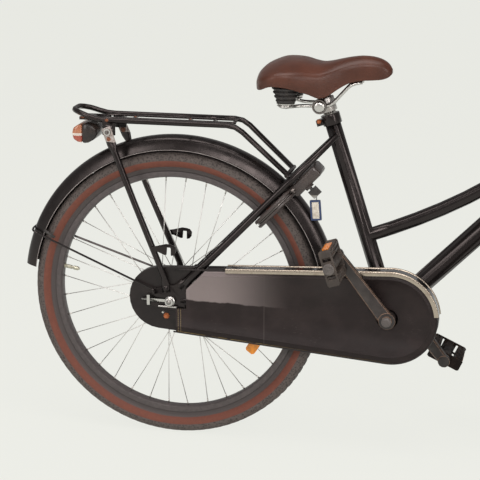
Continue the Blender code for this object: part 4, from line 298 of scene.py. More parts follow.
def rubber(name, colour, rough):
    """Matt black rubber with dust on it."""
    look = Look(name, colour, rough)
    cloud = look.band(look.noise(70.0, 6.0, 0.65), 0.45, 0.75, 0.0, 0.5)
    look.lay(cloud, (0.085, 0.074, 0.066))
    look.set("Roughness", look.patches(150.0, 3.0, 0.3, 0.7, rough * 0.85, rough * 1.15))
    look.bump(look.noise(900.0, 3.0), 0.0003, 0.3)
    return look.material


def tyre_look(name, centre):
    """Grey-black rubber with a brick-brown line round the side wall and a dusty shoulder."""
    look = Look(name, (0.07, 0.062, 0.06), 0.74)
    place = look.place(centre)
    radius = look.math("SQRT", look.math("ADD", *[look.math("POWER", place[i], 2.0) for i in (0, 2)]))
    wobble = look.math("MULTIPLY_ADD", look.noise(40.0, 3.0), 0.0012, -0.0006)
    r = look.math("ADD", radius, wobble)
    grime = look.noise(160.0, 6.0, 0.7)
    wall = look.mix(look.band(grime, 0.35, 0.7), (0.066, 0.054, 0.053), (0.086, 0.071, 0.069))
    shoulder = look.mix(look.band(look.cells(250.0), 0.10, 0.62), (0.026, 0.0205, 0.0195), (0.094, 0.077, 0.070))
    fleck = look.times(look.fade(look.cells(260.0), 0.05, 0.14), look.band(look.noise(30.0), 0.52, 0.66))
    shoulder = look.mix(look.times(fleck, 0.8), shoulder, (0.34, 0.31, 0.29))
    brick = look.mix(look.band(grime, 0.3, 0.75), (0.128, 0.036, 0.021), (0.180, 0.060, 0.039))
    look.base = look.mix(look.band(r, 0.2830, 0.2850), wall, shoulder)
    look.lay(look.stripe(r, (0.2694, 0.2706), (0.2828, 0.2841)), brick)
    tread = look.near(place[1], 0.0, 0.0105, 0.0135)
    look.lay(look.times(tread, 0.55), (0.034, 0.030, 0.029))
    look.set("Roughness", look.band(grime, 0.3, 0.7, 0.62, 0.88))
    look.bump(grime, 0.0005, 0.35)
    knobs = look.times(look.cells(330.0), look.band(r, 0.2850, 0.2880))
    look.bump(knobs, 0.0012, 0.55)
    return look.material


def rim_look(name):
    """Dark grey anodised rim with a satin side and spoke-bed dirt."""
    look = Look(name, (0.08, 0.07, 0.07), 0.50)
    grime = look.noise(120.0, 5.0, 0.65)
    look.set("Base Color", look.mix(look.band(grime, 0.35, 0.75), (0.064, 0.054, 0.054), (0.088, 0.074, 0.073)))
    look.set("Roughness", look.patches(300.0, 3.0, 0.3, 0.7, 0.36, 0.52))
    look.bump(grime, 0.0002, 0.2)
    return look.material


def leather_look(name):
    """Brown saddle cover with a fine pebbled grain."""
    look = Look(name, (0.080, 0.026, 0.014), 0.38, Specular_IOR_Level=0.36)
    broad = look.noise(16.0, 4.0)
    look.base = look.mix(look.band(broad, 0.35, 0.7), (0.062, 0.0190, 0.0098), (0.094, 0.0295, 0.0160))
    pebble = look.cells(820.0)
    crease_and_highlight = look.band(look.noise(240.0, 5.0, 0.7), 0.50, 0.66)
    look.lay(look.times(look.band(pebble, 0.25, 0.75), 0.30), (0.050, 0.016, 0.010))
    look.set("Roughness", look.patches(55.0, 4.0, 0.3, 0.75, 0.29, 0.40))
    look.bump(pebble, 0.0004, 0.22)
    look.bump(crease_and_highlight, 0.0004, 0.20)
    return look.material


def case_look(name):
    """The chain case's skin: dark brown-black sheet with a leathery grain, a painted sheen on its upper half and a
    faint painted highlight near the front.
    """
    look = Look(name, (0.022, 0.015, 0.014), 0.42, Specular_IOR_Level=0.20)
    place = look.place(ORIGIN)
    cloud = look.noise(22.0, 5.0)
    look.base = look.mix(look.band(cloud, 0.38, 0.72), (0.0175, 0.0122, 0.0120), (0.0260, 0.0185, 0.0180))
    # A painted sheen on the upper half, paler at the back, ending at a wavering line
    edge = look.math("MULTIPLY_ADD", look.noise(38.0, 3.0), 0.010, -0.005)
    line = look.math("MULTIPLY_ADD", place[0], -0.030, 0.0078)
    above = look.band(look.math("SUBTRACT", look.math("ADD", place[2], edge), line), -0.0012, 0.0022)
    sheen = look.times(above, look.stripe(place[0], (0.022, 0.045), (0.085, 0.262)))
    look.lay(look.times(sheen, 0.74), (0.285, 0.242, 0.238))
    # A faint painted highlight on the skin near the front of its top
    away = look.vector("DISTANCE", look.coords, at(0.332, -0.066, 0.056))
    look.lay(look.times(look.fade(away, 0.004, 0.050), 0.06), (0.16, 0.135, 0.13))
    # Scuffs, the hem's worn line below and two rows of stitches behind
    scuff = look.times(look.band(look.noise(500.0, 3.0, stretch=(0.25, 1.0, 1.0)), 0.60, 0.72),
                      look.patches(26.0, 3.0, 0.5, 0.68))
    look.lay(look.times(scuff, 0.35), (0.10, 0.082, 0.075))
    hem = look.math("ADD", look.times(place[0], -0.0823), look.times(place[2], -0.9966))
    worn = look.times(look.stripe(hem, (0.0598, 0.0604), (0.0612, 0.0620)),
                      look.band(place[0], 0.16, 0.26, 1.0, 0.25), look.patches(55.0, 4.0, 0.36, 0.52))
    look.lay(worn, (0.30, 0.215, 0.070))
    rows = look.most(*[look.near(place[0], x, 0.0005, 0.0009) for x in (0.0230, 0.0280)])
    dashes = look.band(look.math("FRACT", look.times(place[2], 250.0)), 0.42, 0.52)
    rows = look.times(rows, dashes, look.fade(place[2], -0.012, -0.010))
    look.lay(look.times(rows, 0.8), (0.27, 0.205, 0.105))
    seam = look.near(place[0], 0.2015, 0.0004, 0.0011)
    look.lay(look.times(seam, 0.5), (0.085, 0.070, 0.066))
    # The folded edge along the top is darker, with a pale painted highlight line below it, along the crease
    depth = look.math("SUBTRACT", look.math("MULTIPLY_ADD", place[0], 0.0444, 0.0693), place[2])
    look.lay(look.fade(depth, 0.0034, 0.0044), (0.012, 0.0095, 0.0092))
    crease_and_highlight = look.stripe(depth, (0.0040, 0.0048), (0.0056, 0.0066))
    crease_and_highlight = look.times(crease_and_highlight, look.band(place[0], 0.11, 0.14, 0.7, 0.0))
    look.lay(crease_and_highlight, (0.33, 0.285, 0.28))
    look.set("Roughness", look.band(cloud, 0.3, 0.75, 0.36, 0.52))
    look.bump(look.cells(650.0), 0.0004, 0.16)
    look.bump(seam, 0.0005, -0.5)
    return look.material


def strut_look(name, rust_at):
    """Black enamel up to the flattened head, which is bare grey steel with rust round its bolt."""
    look = Look(name, PAINT_BLACK, 0.20, Specular_IOR_Level=0.46, Specular_Tint=PAINT_TINT)
    height = look.place(ORIGIN)[2]
    head = look.band(look.math("MULTIPLY_ADD", look.noise(90.0, 3.0), 0.004, height), 0.3248, 0.3256)
    bare = look.mix(look.band(look.noise(120.0, 5.0, 0.65), 0.38, 0.70), (0.36, 0.33, 0.31), (0.22, 0.185, 0.165))
    look.lay(head, bare)
    corrode(look, 0.58, 0.68, rust_at)
    look.set("Roughness", look.math("MULTIPLY_ADD", head, 0.22, look.band(look.noise(60.0), 0.3, 0.7, 0.12, 0.26)))
    look.bump(look.noise(260.0, 2.0), 0.0003, 0.15)
    return look.material


def tail_lens_look(name):
    """Rear lamp glass: amber above, a pale stripe across that is a painted highlight, red reflector below."""
    look = Look(name, (0.6, 0.2, 0.1), 0.16, Transmission_Weight=0.10, Coat_Weight=0.5, Coat_Roughness=0.06)
    height = look.place(ORIGIN)[2]
    depth = look.patches(110.0, 3.0, 0.3, 0.75)
    amber = look.mix(depth, (0.49, 0.215, 0.112), (0.36, 0.108, 0.052))
    red = look.mix(depth, (0.44, 0.100, 0.060), (0.30, 0.048, 0.028))
    # The pale stripe across the middle is a painted highlight
    highlight_stripe = look.mix(depth, (0.76, 0.70, 0.63), (0.58, 0.50, 0.44))
    look.base = look.mix(look.band(height, 0.3276, 0.3288), red, highlight_stripe)
    look.lay(look.band(height, 0.3326, 0.3338), amber)
    look.lay(look.fade(height, 0.3152, 0.3170), (0.62, 0.49, 0.42))
    look.bump(look.cells(330.0, randomness=0.05), 0.0006, 0.4)
    return look.material


def tag_look(name):
    """Key with a black bow, and below its steel ring a cream label."""
    look = Look(name, (0.5, 0.5, 0.5), 0.35)
    low, high = [Vector(c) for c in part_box("ring_lock_key")]
    height = look.place(low)[2]
    grime = look.patches(140.0, 4.0, 0.35, 0.7)
    cream = look.mix(grime, (0.66, 0.62, 0.55), (0.50, 0.45, 0.38))
    steel = look.mix(grime, (0.42, 0.41, 0.40), (0.24, 0.21, 0.18))
    black = look.mix(grime, (0.020, 0.018, 0.018), (0.045, 0.040, 0.038))
    look.base = look.mix(look.band(height, 0.0385, 0.0392), cream, steel)
    look.lay(look.band(height, 0.0500, 0.0508), black)
    look.set("Metallic", look.stripe(height, (0.0385, 0.0392), (0.0500, 0.0508)))
    look.bump(look.noise(500.0, 3.0), 0.0002, 0.2)
    return look.material


def lens_look(name, colour, rough):
    """Orange reflector glass with a fine moulded lattice."""
    look = Look(name, colour, rough, Coat_Weight=0.6, Coat_Roughness=0.05)
    depth = look.patches(90.0, 3.0, 0.3, 0.75)
    look.lay(depth, tuple(c * 0.55 for c in colour))
    look.bump(look.cells(380.0, randomness=0.05), 0.0006, 0.5)
    return look.material


# Mesh helpers


def placed(name, data):
    """A new object that shows in the scene."""
    thing = bpy.data.objects.new(name, data)
    bpy.context.scene.collection.objects.link(thing)
    return thing


def piece(name, build, look, body, replaces=(), sharp=None):
    """Turns a bmesh in row coordinates into a named piece that rides on a body."""
    mesh = bpy.data.meshes.new(name)
    bmesh.ops.recalc_face_normals(build, faces=build.faces)
    build.to_mesh(mesh)
    build.free()
    thing = placed(name, mesh)
    mesh.materials.append(look)
    mesh.shade_smooth()
    if sharp is not None:
        mesh.set_sharp_from_angle(angle=math.radians(sharp))
    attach(thing, body)
    if replaces:
        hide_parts(*replaces)
    return thing


def refined(node, look, slot, corner=0.0, angle=34, worn=None):
    """A node's own form with smooth walls and, if asked, small rounded corners."""
    source = nodes[node]
    build = bmesh.new()
    build.from_mesh(source.data)
    bmesh.ops.remove_doubles(build, verts=build.verts, dist=1e-6)
    if corner:
        bmesh.ops.dissolve_limit(build, angle_limit=math.radians(0.5), verts=build.verts, edges=build.edges)
        sharp = [e for e in build.edges if e.is_manifold and e.calc_face_angle(0.0) > math.radians(angle)]
        bmesh.ops.bevel(build, geom=sharp, offset=corner, segments=2, affect="EDGES", profile=0.5,
                        clamp_overlap=True, material=1 if worn else -1)
    thing = piece(node + "_form", build, look, source["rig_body"], (node,), sharp=angle)
    if worn:
        thing.data.materials.append(worn)


def fitted(name, look, body, slot, sharp, *shapes, replaces=()):
    """A piece put together from shapes, each given as a function and its values."""
    build = bmesh.new()
    for make, *values in shapes:
        make(build, *values)
    piece(name, build, look, body, replaces, sharp)


def ring_surface(build, rings, closed=False):
    """Skins a list of equal loops of points, joined in a circle or with both ends capped."""
    loops = [[build.verts.new(p) for p in ring] for ring in rings]
    pairs = list(zip(loops, loops[1:] + loops[:1]))
    for first, second in pairs if closed else pairs[:-1]:
        for k in range(len(first)):
            after = (k + 1) % len(first)
            build.faces.new((first[k], first[after], second[after], second[k]))
    if not closed:
        build.faces.new(loops[0])
        build.faces.new(list(reversed(loops[-1])))


def loop_round(centre, aside, other, radius, sides):
    """Points round a centre in the plane of two directions."""
    turns = [math.tau * k / sides for k in range(sides)]
    return [centre + (aside * math.cos(a) + other * math.sin(a)) * radius for a in turns]


def turned(build, place, along, profile, facets=28, closed=False):
    """Turns a profile of (along, radius) into a cap from its seat outwards, or into a closed ring."""
    axis = along.normalized()
    aside = axis.orthogonal().normalized()
    rings = [loop_round(place + axis * step, aside, axis.cross(aside), radius, facets) for step, radius in profile]
    ring_surface(build, rings, closed)


def rod(build, start, end, radius, sides, end_radius=None):
    """A round bar between two points, tapered if its end has another radius."""
    run = end - start
    turned(build, start, run, [(0.0, radius), (run.length, end_radius or radius)], sides)


def tube(build, points, radius, sides):
    """A round bar along a path."""
    aside = (points[1] - points[0]).orthogonal().normalized()
    rings = []
    for i, point in enumerate(points):
        ahead = (points[min(i + 1, len(points) - 1)] - points[max(i - 1, 0)]).normalized()
        aside = (aside - ahead * aside.dot(ahead)).normalized()
        rings.append(loop_round(point, aside, ahead.cross(aside), radius, sides))
    ring_surface(build, rings)


def screw(build, place, along, radius, height, sides=6, washer=None):
    """A screw head on its washer, standing along one direction."""
    if washer:
        rod(build, place, place + along * height * 0.28, washer, 24, washer * 0.94)
        place = place + along * height * 0.26
    rod(build, place, place + along * height * 0.62, radius, sides)
    rod(build, place + along * height * 0.60, place + along * height, radius * 0.96, sides, radius * 0.70)


def block(build, centre, axes, halves):
    """A six-sided block with its corners taken off along the first two axes."""
    round_off = 0.18
    rings = []
    for end, shrink in ((-1, 1 - round_off), (-1 + round_off, 1.0), (1 - round_off, 1.0), (1, 1 - round_off)):
        ring = []
        for a, b in ((-1, -0.8), (-0.8, -1), (0.8, -1), (1, -0.8), (1, 0.8), (0.8, 1), (-0.8, 1), (-1, 0.8)):
            ring.append(Vector(centre) + axes[0] * (a * halves[0] * shrink) + axes[1] * (b * halves[1] * shrink)
                        + axes[2] * (end * halves[2]))
        rings.append(ring)
    ring_surface(build, rings)


# Wheels


def tyre(name, centre, body, node):
    """A round tyre with side wall, moulded line and cut shoulder blocks."""
    seat = SEAT_RADIUS
    top = seat + 0.006
    height = TYRE_RADIUS - top
    blocks = 96
    around = blocks * 4
    section = []
    steps = 15
    for i in range(steps + 1):
        t = i / steps
        swell = math.sin(math.pi * (0.13 + 0.87 * (1 - t))) ** 0.62 if t < 1 else 0.0
        y = TYRE_HALF * swell * 0.995 * (0.86 + 0.14 * smooth_step(t / 0.3))
        section.append((max(y, 0.0118) if t < 0.5 else y, top + height * t ** 0.92))
    section = [(RIM_HALF - 0.0022, seat + 0.0004), (RIM_HALF - 0.0022, top + 0.0004)] + section[1:]
    rings = []
    for k in range(around):
        out = radial(math.tau * k / around)
        ring = []
        for side in (1, -1):
            part = []
            for i, (y, r) in enumerate(section):
                depth = 0.0
                share = (r - top) / height
                if share > 0.66:
                    phase = (k + (2 if side > 0 else 0) + i) % 4
                    depth = 0.0011 if phase == 0 else 0.0
                if share > 0.93 and y > 0.004:
                    depth = max(depth, 0.0008 if (i % 2) else 0.0)
                part.append(centre + out * (r - depth) + ACROSS * side * y)
            ring += part if side > 0 else list(reversed(part[:-1]))
        rings.append(ring)
    fitted(name, tyre_look(name, centre), body, "tyre_rubber", None, (ring_surface, rings, True), replaces=(node,))


def rim(name, centre, body, node):
    """A hollow rim, turned from one side's profile and its mirror image."""
    seat = SEAT_RADIUS
    inner = seat - RIM_DEPTH
    half = RIM_HALF
    side = [
        (half - 0.0019, seat), (half - 0.0019, seat + 0.0054), (half - 0.0012, seat + 0.0060),
        (half - 0.0003, seat + 0.0058), (half, seat + 0.0050), (half - 0.0004, seat - 0.0040),
        (half - 0.0016, inner + 0.0022), (half - 0.0050, inner + 0.0004),
    ]
    profile = side + [(-y, r) for y, r in reversed(side)]
    fitted(name, rim_look(name), body, "bright_steel", 35, (turned, centre, ACROSS, profile, ROUND, True),
           replaces=(node,))


SPOKES = 18
SPOKE_SWEEP = math.radians(60)


def spoke_set(build, nipples, centre, gap, hole):
    """Laced spokes, thinner than the part's prisms, each in its nipple."""
    for side in (1, -1):
        shift = math.radians(5) + (0.0 if side > 0 else math.pi / SPOKES)
        for k in range(SPOKES):
            leading = k % 2 == 0
            at_hub = shift + math.tau * k / SPOKES
            at_rim = at_hub + (SPOKE_SWEEP if leading else -SPOKE_SWEEP)
            lean = 0.0017 if leading else -0.0017
            start = radial(at_hub) * hole + ACROSS * (side * (gap + lean))
            end = radial(at_rim) * SPOKE_END + ACROSS * (side * (0.0004 + lean * 0.8))
            run = (end - start).normalized()
            rod(build, centre + start, centre + end, 0.00085, 6)
            rod(nipples, centre + end - run * 0.010, centre + end, 0.0014, 8, 0.0017)


def hub(name, centre, body, node, profile, gap, hole):
    """Hub shell, spokes and nipples of a wheel."""
    fitted(name + "_shell", metal(name + "_shell", (0.30, 0.285, 0.27), 0.34, 0.6), body, "bright_steel", 35,
           (turned, centre, ACROSS, profile, 40, True), replaces=(node,))
    wires = bmesh.new()
    nipples = bmesh.new()
    spoke_set(wires, nipples, centre, gap, hole)
    for end, build, *steel in (("_spokes", wires, (0.80, 0.785, 0.76), 0.42, 0.25),
                               ("_nipples", nipples, (0.62, 0.60, 0.57), 0.40, 0.3)):
        piece(name + end, build, metal(name + end, *steel), body)


VALVE_ANGLE = math.radians(170.0)
REFLECTOR_RADIUS = 0.1925
REFLECTOR_MIDDLE = math.radians(-31.2)
REFLECTOR_HALF_SPAN = math.radians(6.4)


def spoke_reflector(name, centre, body):
    """Curved orange reflector clipped between the spokes, with shortened ends."""
    steps = 18
    rings = []
    for i in range(steps + 1):
        t = -1 + 2 * i / steps
        out = radial(REFLECTOR_MIDDLE + REFLECTOR_HALF_SPAN * t)
        short = 1 - 0.35 * smooth_step((abs(t) - 0.80) / 0.20)
        ring = []
        for r, y in ((-0.0108, -0.0075), (0.0108, -0.0075), (0.0108, 0.0075), (-0.0108, 0.0075)):
            corners = ((0.93, 1.0), (1.0, 0.93)) if (r < 0) == (y < 0) else ((1.0, 0.93), (0.93, 1.0))
            for along, across in corners:
                ring.append(centre + out * (REFLECTOR_RADIUS + r * along * short) + ACROSS * y * across)
        rings.append(ring)
    orange = lens_look(name + "_reflector", (1.0, 0.330, 0.006), 0.40)
    fitted(name + "_reflector", orange, body, "red_lens", 40, (ring_surface, rings))


def valve(name, centre, body):
    """Brass valve standing inwards from the rim."""
    out = radial(VALVE_ANGLE)
    start = centre + out * SPOKE_END
    profile = [(0.0, 0.0055), (0.0020, 0.0055), (0.0024, 0.0040), (0.0160, 0.0040), (0.0165, 0.0031),
               (0.0200, 0.0031), (0.0205, 0.0043), (0.0290, 0.0043), (0.0310, 0.0030), (0.0330, 0.0021)]
    brass = metal(name, (0.52, 0.50, 0.40), 0.30, 0.5)
    fitted(name, brass, body, "bright_steel", 40, (turned, start, -out, profile, 20))


REAR_HUB = [
    (-0.0335, 0.0055), (-0.0335, 0.0235), (-0.0320, 0.0240), (-0.0318, 0.0335), (-0.0305, 0.0340),
    (-0.0282, 0.0340), (-0.0270, 0.0330), (-0.0255, 0.0245), (-0.0225, 0.0222), (0.0205, 0.0222),
    (0.0250, 0.0245), (0.0270, 0.0335), (0.0282, 0.0345), (0.0308, 0.0345), (0.0318, 0.0335),
    (0.0320, 0.0270), (0.0350, 0.0258), (0.0352, 0.0055),
]
FRONT_SIDE = [
    (0.0400, 0.0055), (0.0400, 0.0115), (0.0390, 0.0125), (0.0364, 0.0128), (0.0362, 0.0198),
    (0.0354, 0.0205), (0.0326, 0.0205), (0.0318, 0.0198), (0.0295, 0.0118), (0.0200, 0.0105),
]
FRONT_HUB = FRONT_SIDE + [(-y, r) for y, r in reversed(FRONT_SIDE)]

for end, centre, profile, gap, hole in (
        ("rear", AXLE, REAR_HUB, 0.0295, 0.030), ("front", FRONT, FRONT_HUB, 0.0340, 0.017)):
    wheel = end + "_wheel"
    tyre("tyre_%s_visual" % end, centre, wheel, end + "_tyre")
    rim("rim_%s_visual" % end, centre, wheel, end + "_rim")
    hub("hub_" + end, centre, wheel, end + "_hub", profile, gap, hole)
    spoke_reflector("hub_" + end, centre, wheel)
    valve("valve_" + end, centre, wheel)

# Mudguards

GUARD_CENTRE = at(0.0101, 0, 0.0018)
GUARD_RADIUS = 0.3325
GUARD_START = math.radians(12)
GUARD_END = math.radians(172)
GUARD_HALF = 0.028
GUARD_WALL = 0.0012
GUARD_DROP = 0.0251


def guard(name, look):
    """Rolled sheet of the rear mudguard with a soft centre crown, and beads along its edges in a pale colour that
    is a painted highlight.
    """
    steps = 96
    outer = []
    count = 20
    for i in range(count + 1):
        across = -1 + 2 * i / count
        crown = -GUARD_DROP * abs(across) ** 3.4
        ridge = 0.0006 * math.exp(-(across / 0.22) ** 2)
        outer.append((GUARD_HALF * across * 0.985, crown + ridge - 0.0006))
    inner = [(y * 0.95, n - GUARD_WALL) for y, n in reversed(outer)]
    lip = [(GUARD_HALF * y, -GUARD_DROP - n) for y, n in ((0.998, 0.0004), (0.995, 0.0020), (0.965, 0.0022))]
    section = outer + lip + inner + [(-y, n) for y, n in reversed(lip)]
    outward = [radial(lerp(GUARD_START, GUARD_END, i / steps)) for i in range(steps + 1)]
    rings = [[GUARD_CENTRE + out * (GUARD_RADIUS + n) + ACROSS * y for y, n in section] for out in outward]
    fitted(name, look, "frame", "black_paint", 50, (ring_surface, rings), replaces=("rear_mudguard",))
    beads = []
    for side in (1, -1):
        edge = GUARD_RADIUS - GUARD_DROP - 0.0021
        path = [GUARD_CENTRE + out * edge + ACROSS * (side * GUARD_HALF * 0.985) for out in outward]
        beads.append((tube, path, 0.0008, 8))
    # The beads' pale colour is a painted highlight along the mudguard's lower edges
    highlight_bead_look = plastic(name + "_highlight_bead", (0.21, 0.185, 0.18), 0.3, worn=(0.34, 0.31, 0.30))
    fitted(name + "_highlight_bead", highlight_bead_look, "frame", "black_paint", None, *beads)


# Saddle

SADDLE = [
    # x, half width, top, skirt bottom, crown drop at the side
    (0.1802, 0.044, 0.4690, 0.4490, 0.010),
    (0.1842, 0.060, 0.4755, 0.4432, 0.014),
    (0.1950, 0.075, 0.4855, 0.4450, 0.017),
    (0.2110, 0.084, 0.4935, 0.4520, 0.020),
    (0.2290, 0.087, 0.4995, 0.4530, 0.021),
    (0.2500, 0.085, 0.5005, 0.4500, 0.021),
    (0.2700, 0.076, 0.4990, 0.4430, 0.020),
    (0.2870, 0.067, 0.4950, 0.4370, 0.019),
    (0.3050, 0.058, 0.4925, 0.4290, 0.018),
    (0.3220, 0.047, 0.4950, 0.4330, 0.017),
    (0.3400, 0.037, 0.4995, 0.4450, 0.016),
    (0.3600, 0.029, 0.5040, 0.4560, 0.015),
    (0.3820, 0.025, 0.5070, 0.4610, 0.014),
    (0.4050, 0.022, 0.5060, 0.4625, 0.013),
    (0.4230, 0.018, 0.5010, 0.4640, 0.012),
    (0.4350, 0.013, 0.4930, 0.4680, 0.010),
    (0.4415, 0.007, 0.4830, 0.4740, 0.004),
]


def catmull(a, b, c, d, t):
    """A smooth curve through b and c, with a and d as their neighbours."""
    return 0.5 * (2 * b + (c - a) * t + (2 * a - 5 * b + 4 * c - d) * t * t + (3 * b - a - 3 * c + d) * t ** 3)


def saddle_station(position):
    """Smoothly interpolated section sizes; position runs over the table's rows."""
    k = min(int(position), len(SADDLE) - 2)
    t = position - k
    rows = [SADDLE[max(0, min(len(SADDLE) - 1, k + d))] for d in (-1, 0, 1, 2)]
    return [catmull(*(row[i] for row in rows), t) for i in range(5)]


def saddle():
    """Padded cover, lofted and pulled in over its piping, with a seam low on its side."""
    build = bmesh.new()
    across = 14
    rings = []
    fine = 3
    for step in range((len(SADDLE) - 1) * fine + 1):
        x, half, top, bottom, drop = saddle_station(step / fine)
        upper = []
        for i in range(2 * across + 1):
            share = -1 + i / across
            z = top - drop * abs(share) ** 2.5
            upper.append((half * share * (1 - 0.035 * abs(share) ** 3), z))
        edge = upper[0][1]
        side = []
        for t, out in ((0.16, 0.996), (0.32, 1.0), (0.50, 0.998), (0.66, 0.990), (0.78, 0.978), (0.86, 0.964),
                       (0.92, 0.966), (0.97, 0.960), (1.0, 0.945)):
            side.append((half * out, lerp(edge, bottom, t)))
        inner = max(half - 0.0065, half * 0.35)
        roof = min(top - drop - 0.004, max(bottom + 0.003, top - 0.0185 - drop * 0.5))
        under = [(inner, bottom + 0.0008), (inner * 0.97, lerp(bottom, roof, 0.6)), (inner * 0.90, roof)]
        right = side + under
        left = [(-y, z) for y, z in reversed(right)]
        rings.append([at(x, y, z) for y, z in upper + right + left])
    ring_surface(build, rings)
    bmesh.ops.triangulate(build, faces=[f for f in build.faces if len(f.verts) > 4])
    cover = piece("saddle_cushion", build, leather_look("saddle_cushion"), "saddle", ("saddle_pad",))


saddle()

# Chain case trim, hem and screws

CASE_REAR = (-0.0175, 0.003, 0.0655)
CASE_FRONT = (0.456, -0.006, 0.0955)
CASE_TOP = math.radians(92.54)
CASE_BOTTOM = math.radians(-94.72)
TRIM_LENGTH = 0.331
TRIM_END = math.radians(6)
HEM_END = math.radians(5)
HEM_RADIUS = 0.0016
HEM_BACK = 0.925
HEM_FACE = -0.0660


def case_point(circle, angle, out, y):
    """A point beside the case's outline, by the circle and angle it lies at."""
    x, z, radius = circle
    return at(x + (radius + out) * math.cos(angle), y, z + (radius + out) * math.sin(angle))


def case_straight(first, last, steps, angle):
    """Stations between the case's round ends, by share of the way from the front one to the rear one."""
    run = []
    for k in range(steps + 1):
        share = lerp(first, last, k / steps)
        run.append(([lerp(a, b, share) for a, b in zip(CASE_FRONT, CASE_REAR)], angle))
    return run


def case_front(first, last):
    """Stations round the case's front end."""
    return [(CASE_FRONT, lerp(first, last, k / 40)) for k in range(1, 41)]


def case_trim(plate_look, edge_look):
    """Bright edging: a plate over the case's top edge with a rolled far side, and a flange on the face; the brassy
    tone of the flange and rolled side is a painted warm reflection on silver trim.
    """
    plate = [(0.0006, -0.0662), (0.0016, -0.0655), (0.0019, -0.0630), (0.0019, -0.0440), (0.0010, -0.0438),
             (0.0010, -0.0630)]
    flange = [(-0.0074, -0.0664), (-0.0071, -0.0675), (0.0004, -0.0678), (0.0017, -0.0671), (0.0021, -0.0657),
              (0.0010, -0.0655), (0.0004, -0.0664)]
    rolled = [(0.0004, -0.0440), (0.0020, -0.0442), (0.0034, -0.0430), (0.0036, -0.0412), (0.0026, -0.0396),
              (0.0010, -0.0394)]
    length = math.hypot(CASE_FRONT[0] - CASE_REAR[0], CASE_FRONT[1] - CASE_REAR[1])
    stations = case_straight(TRIM_LENGTH / length, 0.0, 12, CASE_TOP) + case_front(CASE_TOP, TRIM_END)

    def run(section):
        rings = [[case_point(circle, angle, out, y) for out, y in section] for circle, angle in stations]
        return ring_surface, rings

    fitted("case_trim_plate", plate_look, "frame", "bright_steel", 50, run(plate), replaces=("chain_case_trim",))
    fitted("case_trim_edge", edge_look, "frame", "bright_steel", 50, run(flange), run(rolled))


def case_hem(look):
    """Rounded hem along the case's bottom and front edge, where the skin is folded over its wire."""
    lower = case_straight(HEM_BACK, 0.0, 24, CASE_BOTTOM) + case_front(CASE_BOTTOM, HEM_END)
    upper = case_straight(HEM_BACK, 0.70, 6, CASE_TOP)
    runs = [[case_point(*place, -HEM_RADIUS, HEM_FACE) for place in stations] for stations in (lower, upper)]
    fitted("case_hem", look, "frame", "black_plastic", None, *[(tube, run, HEM_RADIUS, 8) for run in runs])


# Places of the small parts, from the part's starting point: forward, out to one side and up
STRUT_BOLT = (-0.1244, 0.0510, 0.3428)
SPRING_FOOT = (0.239, 0.045, 0.4106)
CLAMP_CHEEK = (0.3033, 0.0313, 0.4085)
SLEEVE_ENDS = ((-0.2704, 0.0330, 0.1264), (-0.2470, 0.0362, 0.1127))
CASE_SCREW = (-0.0049, -0.0533, -0.0348)
SMALL_SCREW = (-0.0120, -0.0533, -0.0270)
COLLAR_SCREW = (0.3008, -0.0185, 0.3767)
AXLE_BAR = ((-0.0188, -0.0650, -0.0112), (0.0191, -0.0650, -0.0118))
SIDES = (("right", -1.0), ("left", 1.0))


def small_parts(chrome, dark, rust, rubber_look):
    """Fasteners, caps and sleeves that the part leaves off."""
    for side, sign in SIDES:
        out = ACROSS * sign

        def beside(place, further=0.0):
            return at(place[0], (place[1] + further) * sign, place[2])

        fitted("strut_washer_" + side, chrome, "frame", "bright_steel", 40,
               (turned, beside(STRUT_BOLT), out, [(0.0, 0.0080), (0.0012, 0.0080), (0.0026, 0.0072)]))
        fitted("strut_bolt_" + side, dark, "frame", "dull_steel", 30,
               (screw, beside(STRUT_BOLT, 0.0022), out, 0.0044, 0.0040))
        fitted("spring_dish_" + side, chrome, "saddle", "bright_steel", 50,
               (turned, beside(SPRING_FOOT), UP,
                [(0.0, 0.0090), (0.0004, 0.0132), (0.0050, 0.0184), (0.0062, 0.0184)]))
        fitted("clamp_cap_" + side, chrome, "saddle", "bright_steel", 50,
               (turned, beside(CLAMP_CHEEK), out,
                [(0.0, 0.0116), (0.0026, 0.0112), (0.0044, 0.0093), (0.0052, 0.0060), (0.0054, 0.0020)]))
        fitted("clamp_rim_" + side, dark, "saddle", "dull_steel", 50,
               (turned, beside(CLAMP_CHEEK), out,
                [(-0.0002, 0.0118), (0.0016, 0.0120), (0.0018, 0.0140), (0.0010, 0.0147), (-0.0006, 0.0147)],
                40, True))
        start, end = [beside(place) for place in SLEEVE_ENDS]
        fitted("stay_sleeve_" + side, rubber_look, "frame", "black_rubber", None,
               (tube, [lerp(start, end, k / 3) for k in range(4)], 0.0031, 12))
    fitted("rusted_screws", rust, "frame", "dull_steel", 30,
           (screw, at(*CASE_SCREW), -ACROSS, 0.0056, 0.0052, 6, 0.0064),
           (screw, at(*COLLAR_SCREW), -ACROSS, 0.0042, 0.0050, 6, 0.0046))
    fitted("axle_bar", chrome, "frame", "bright_steel", 40,
           (screw, at(*SMALL_SCREW), -ACROSS, 0.0026, 0.0030, 12),
           (rod, at(*AXLE_BAR[0]), at(*AXLE_BAR[1]), 0.0017, 12))


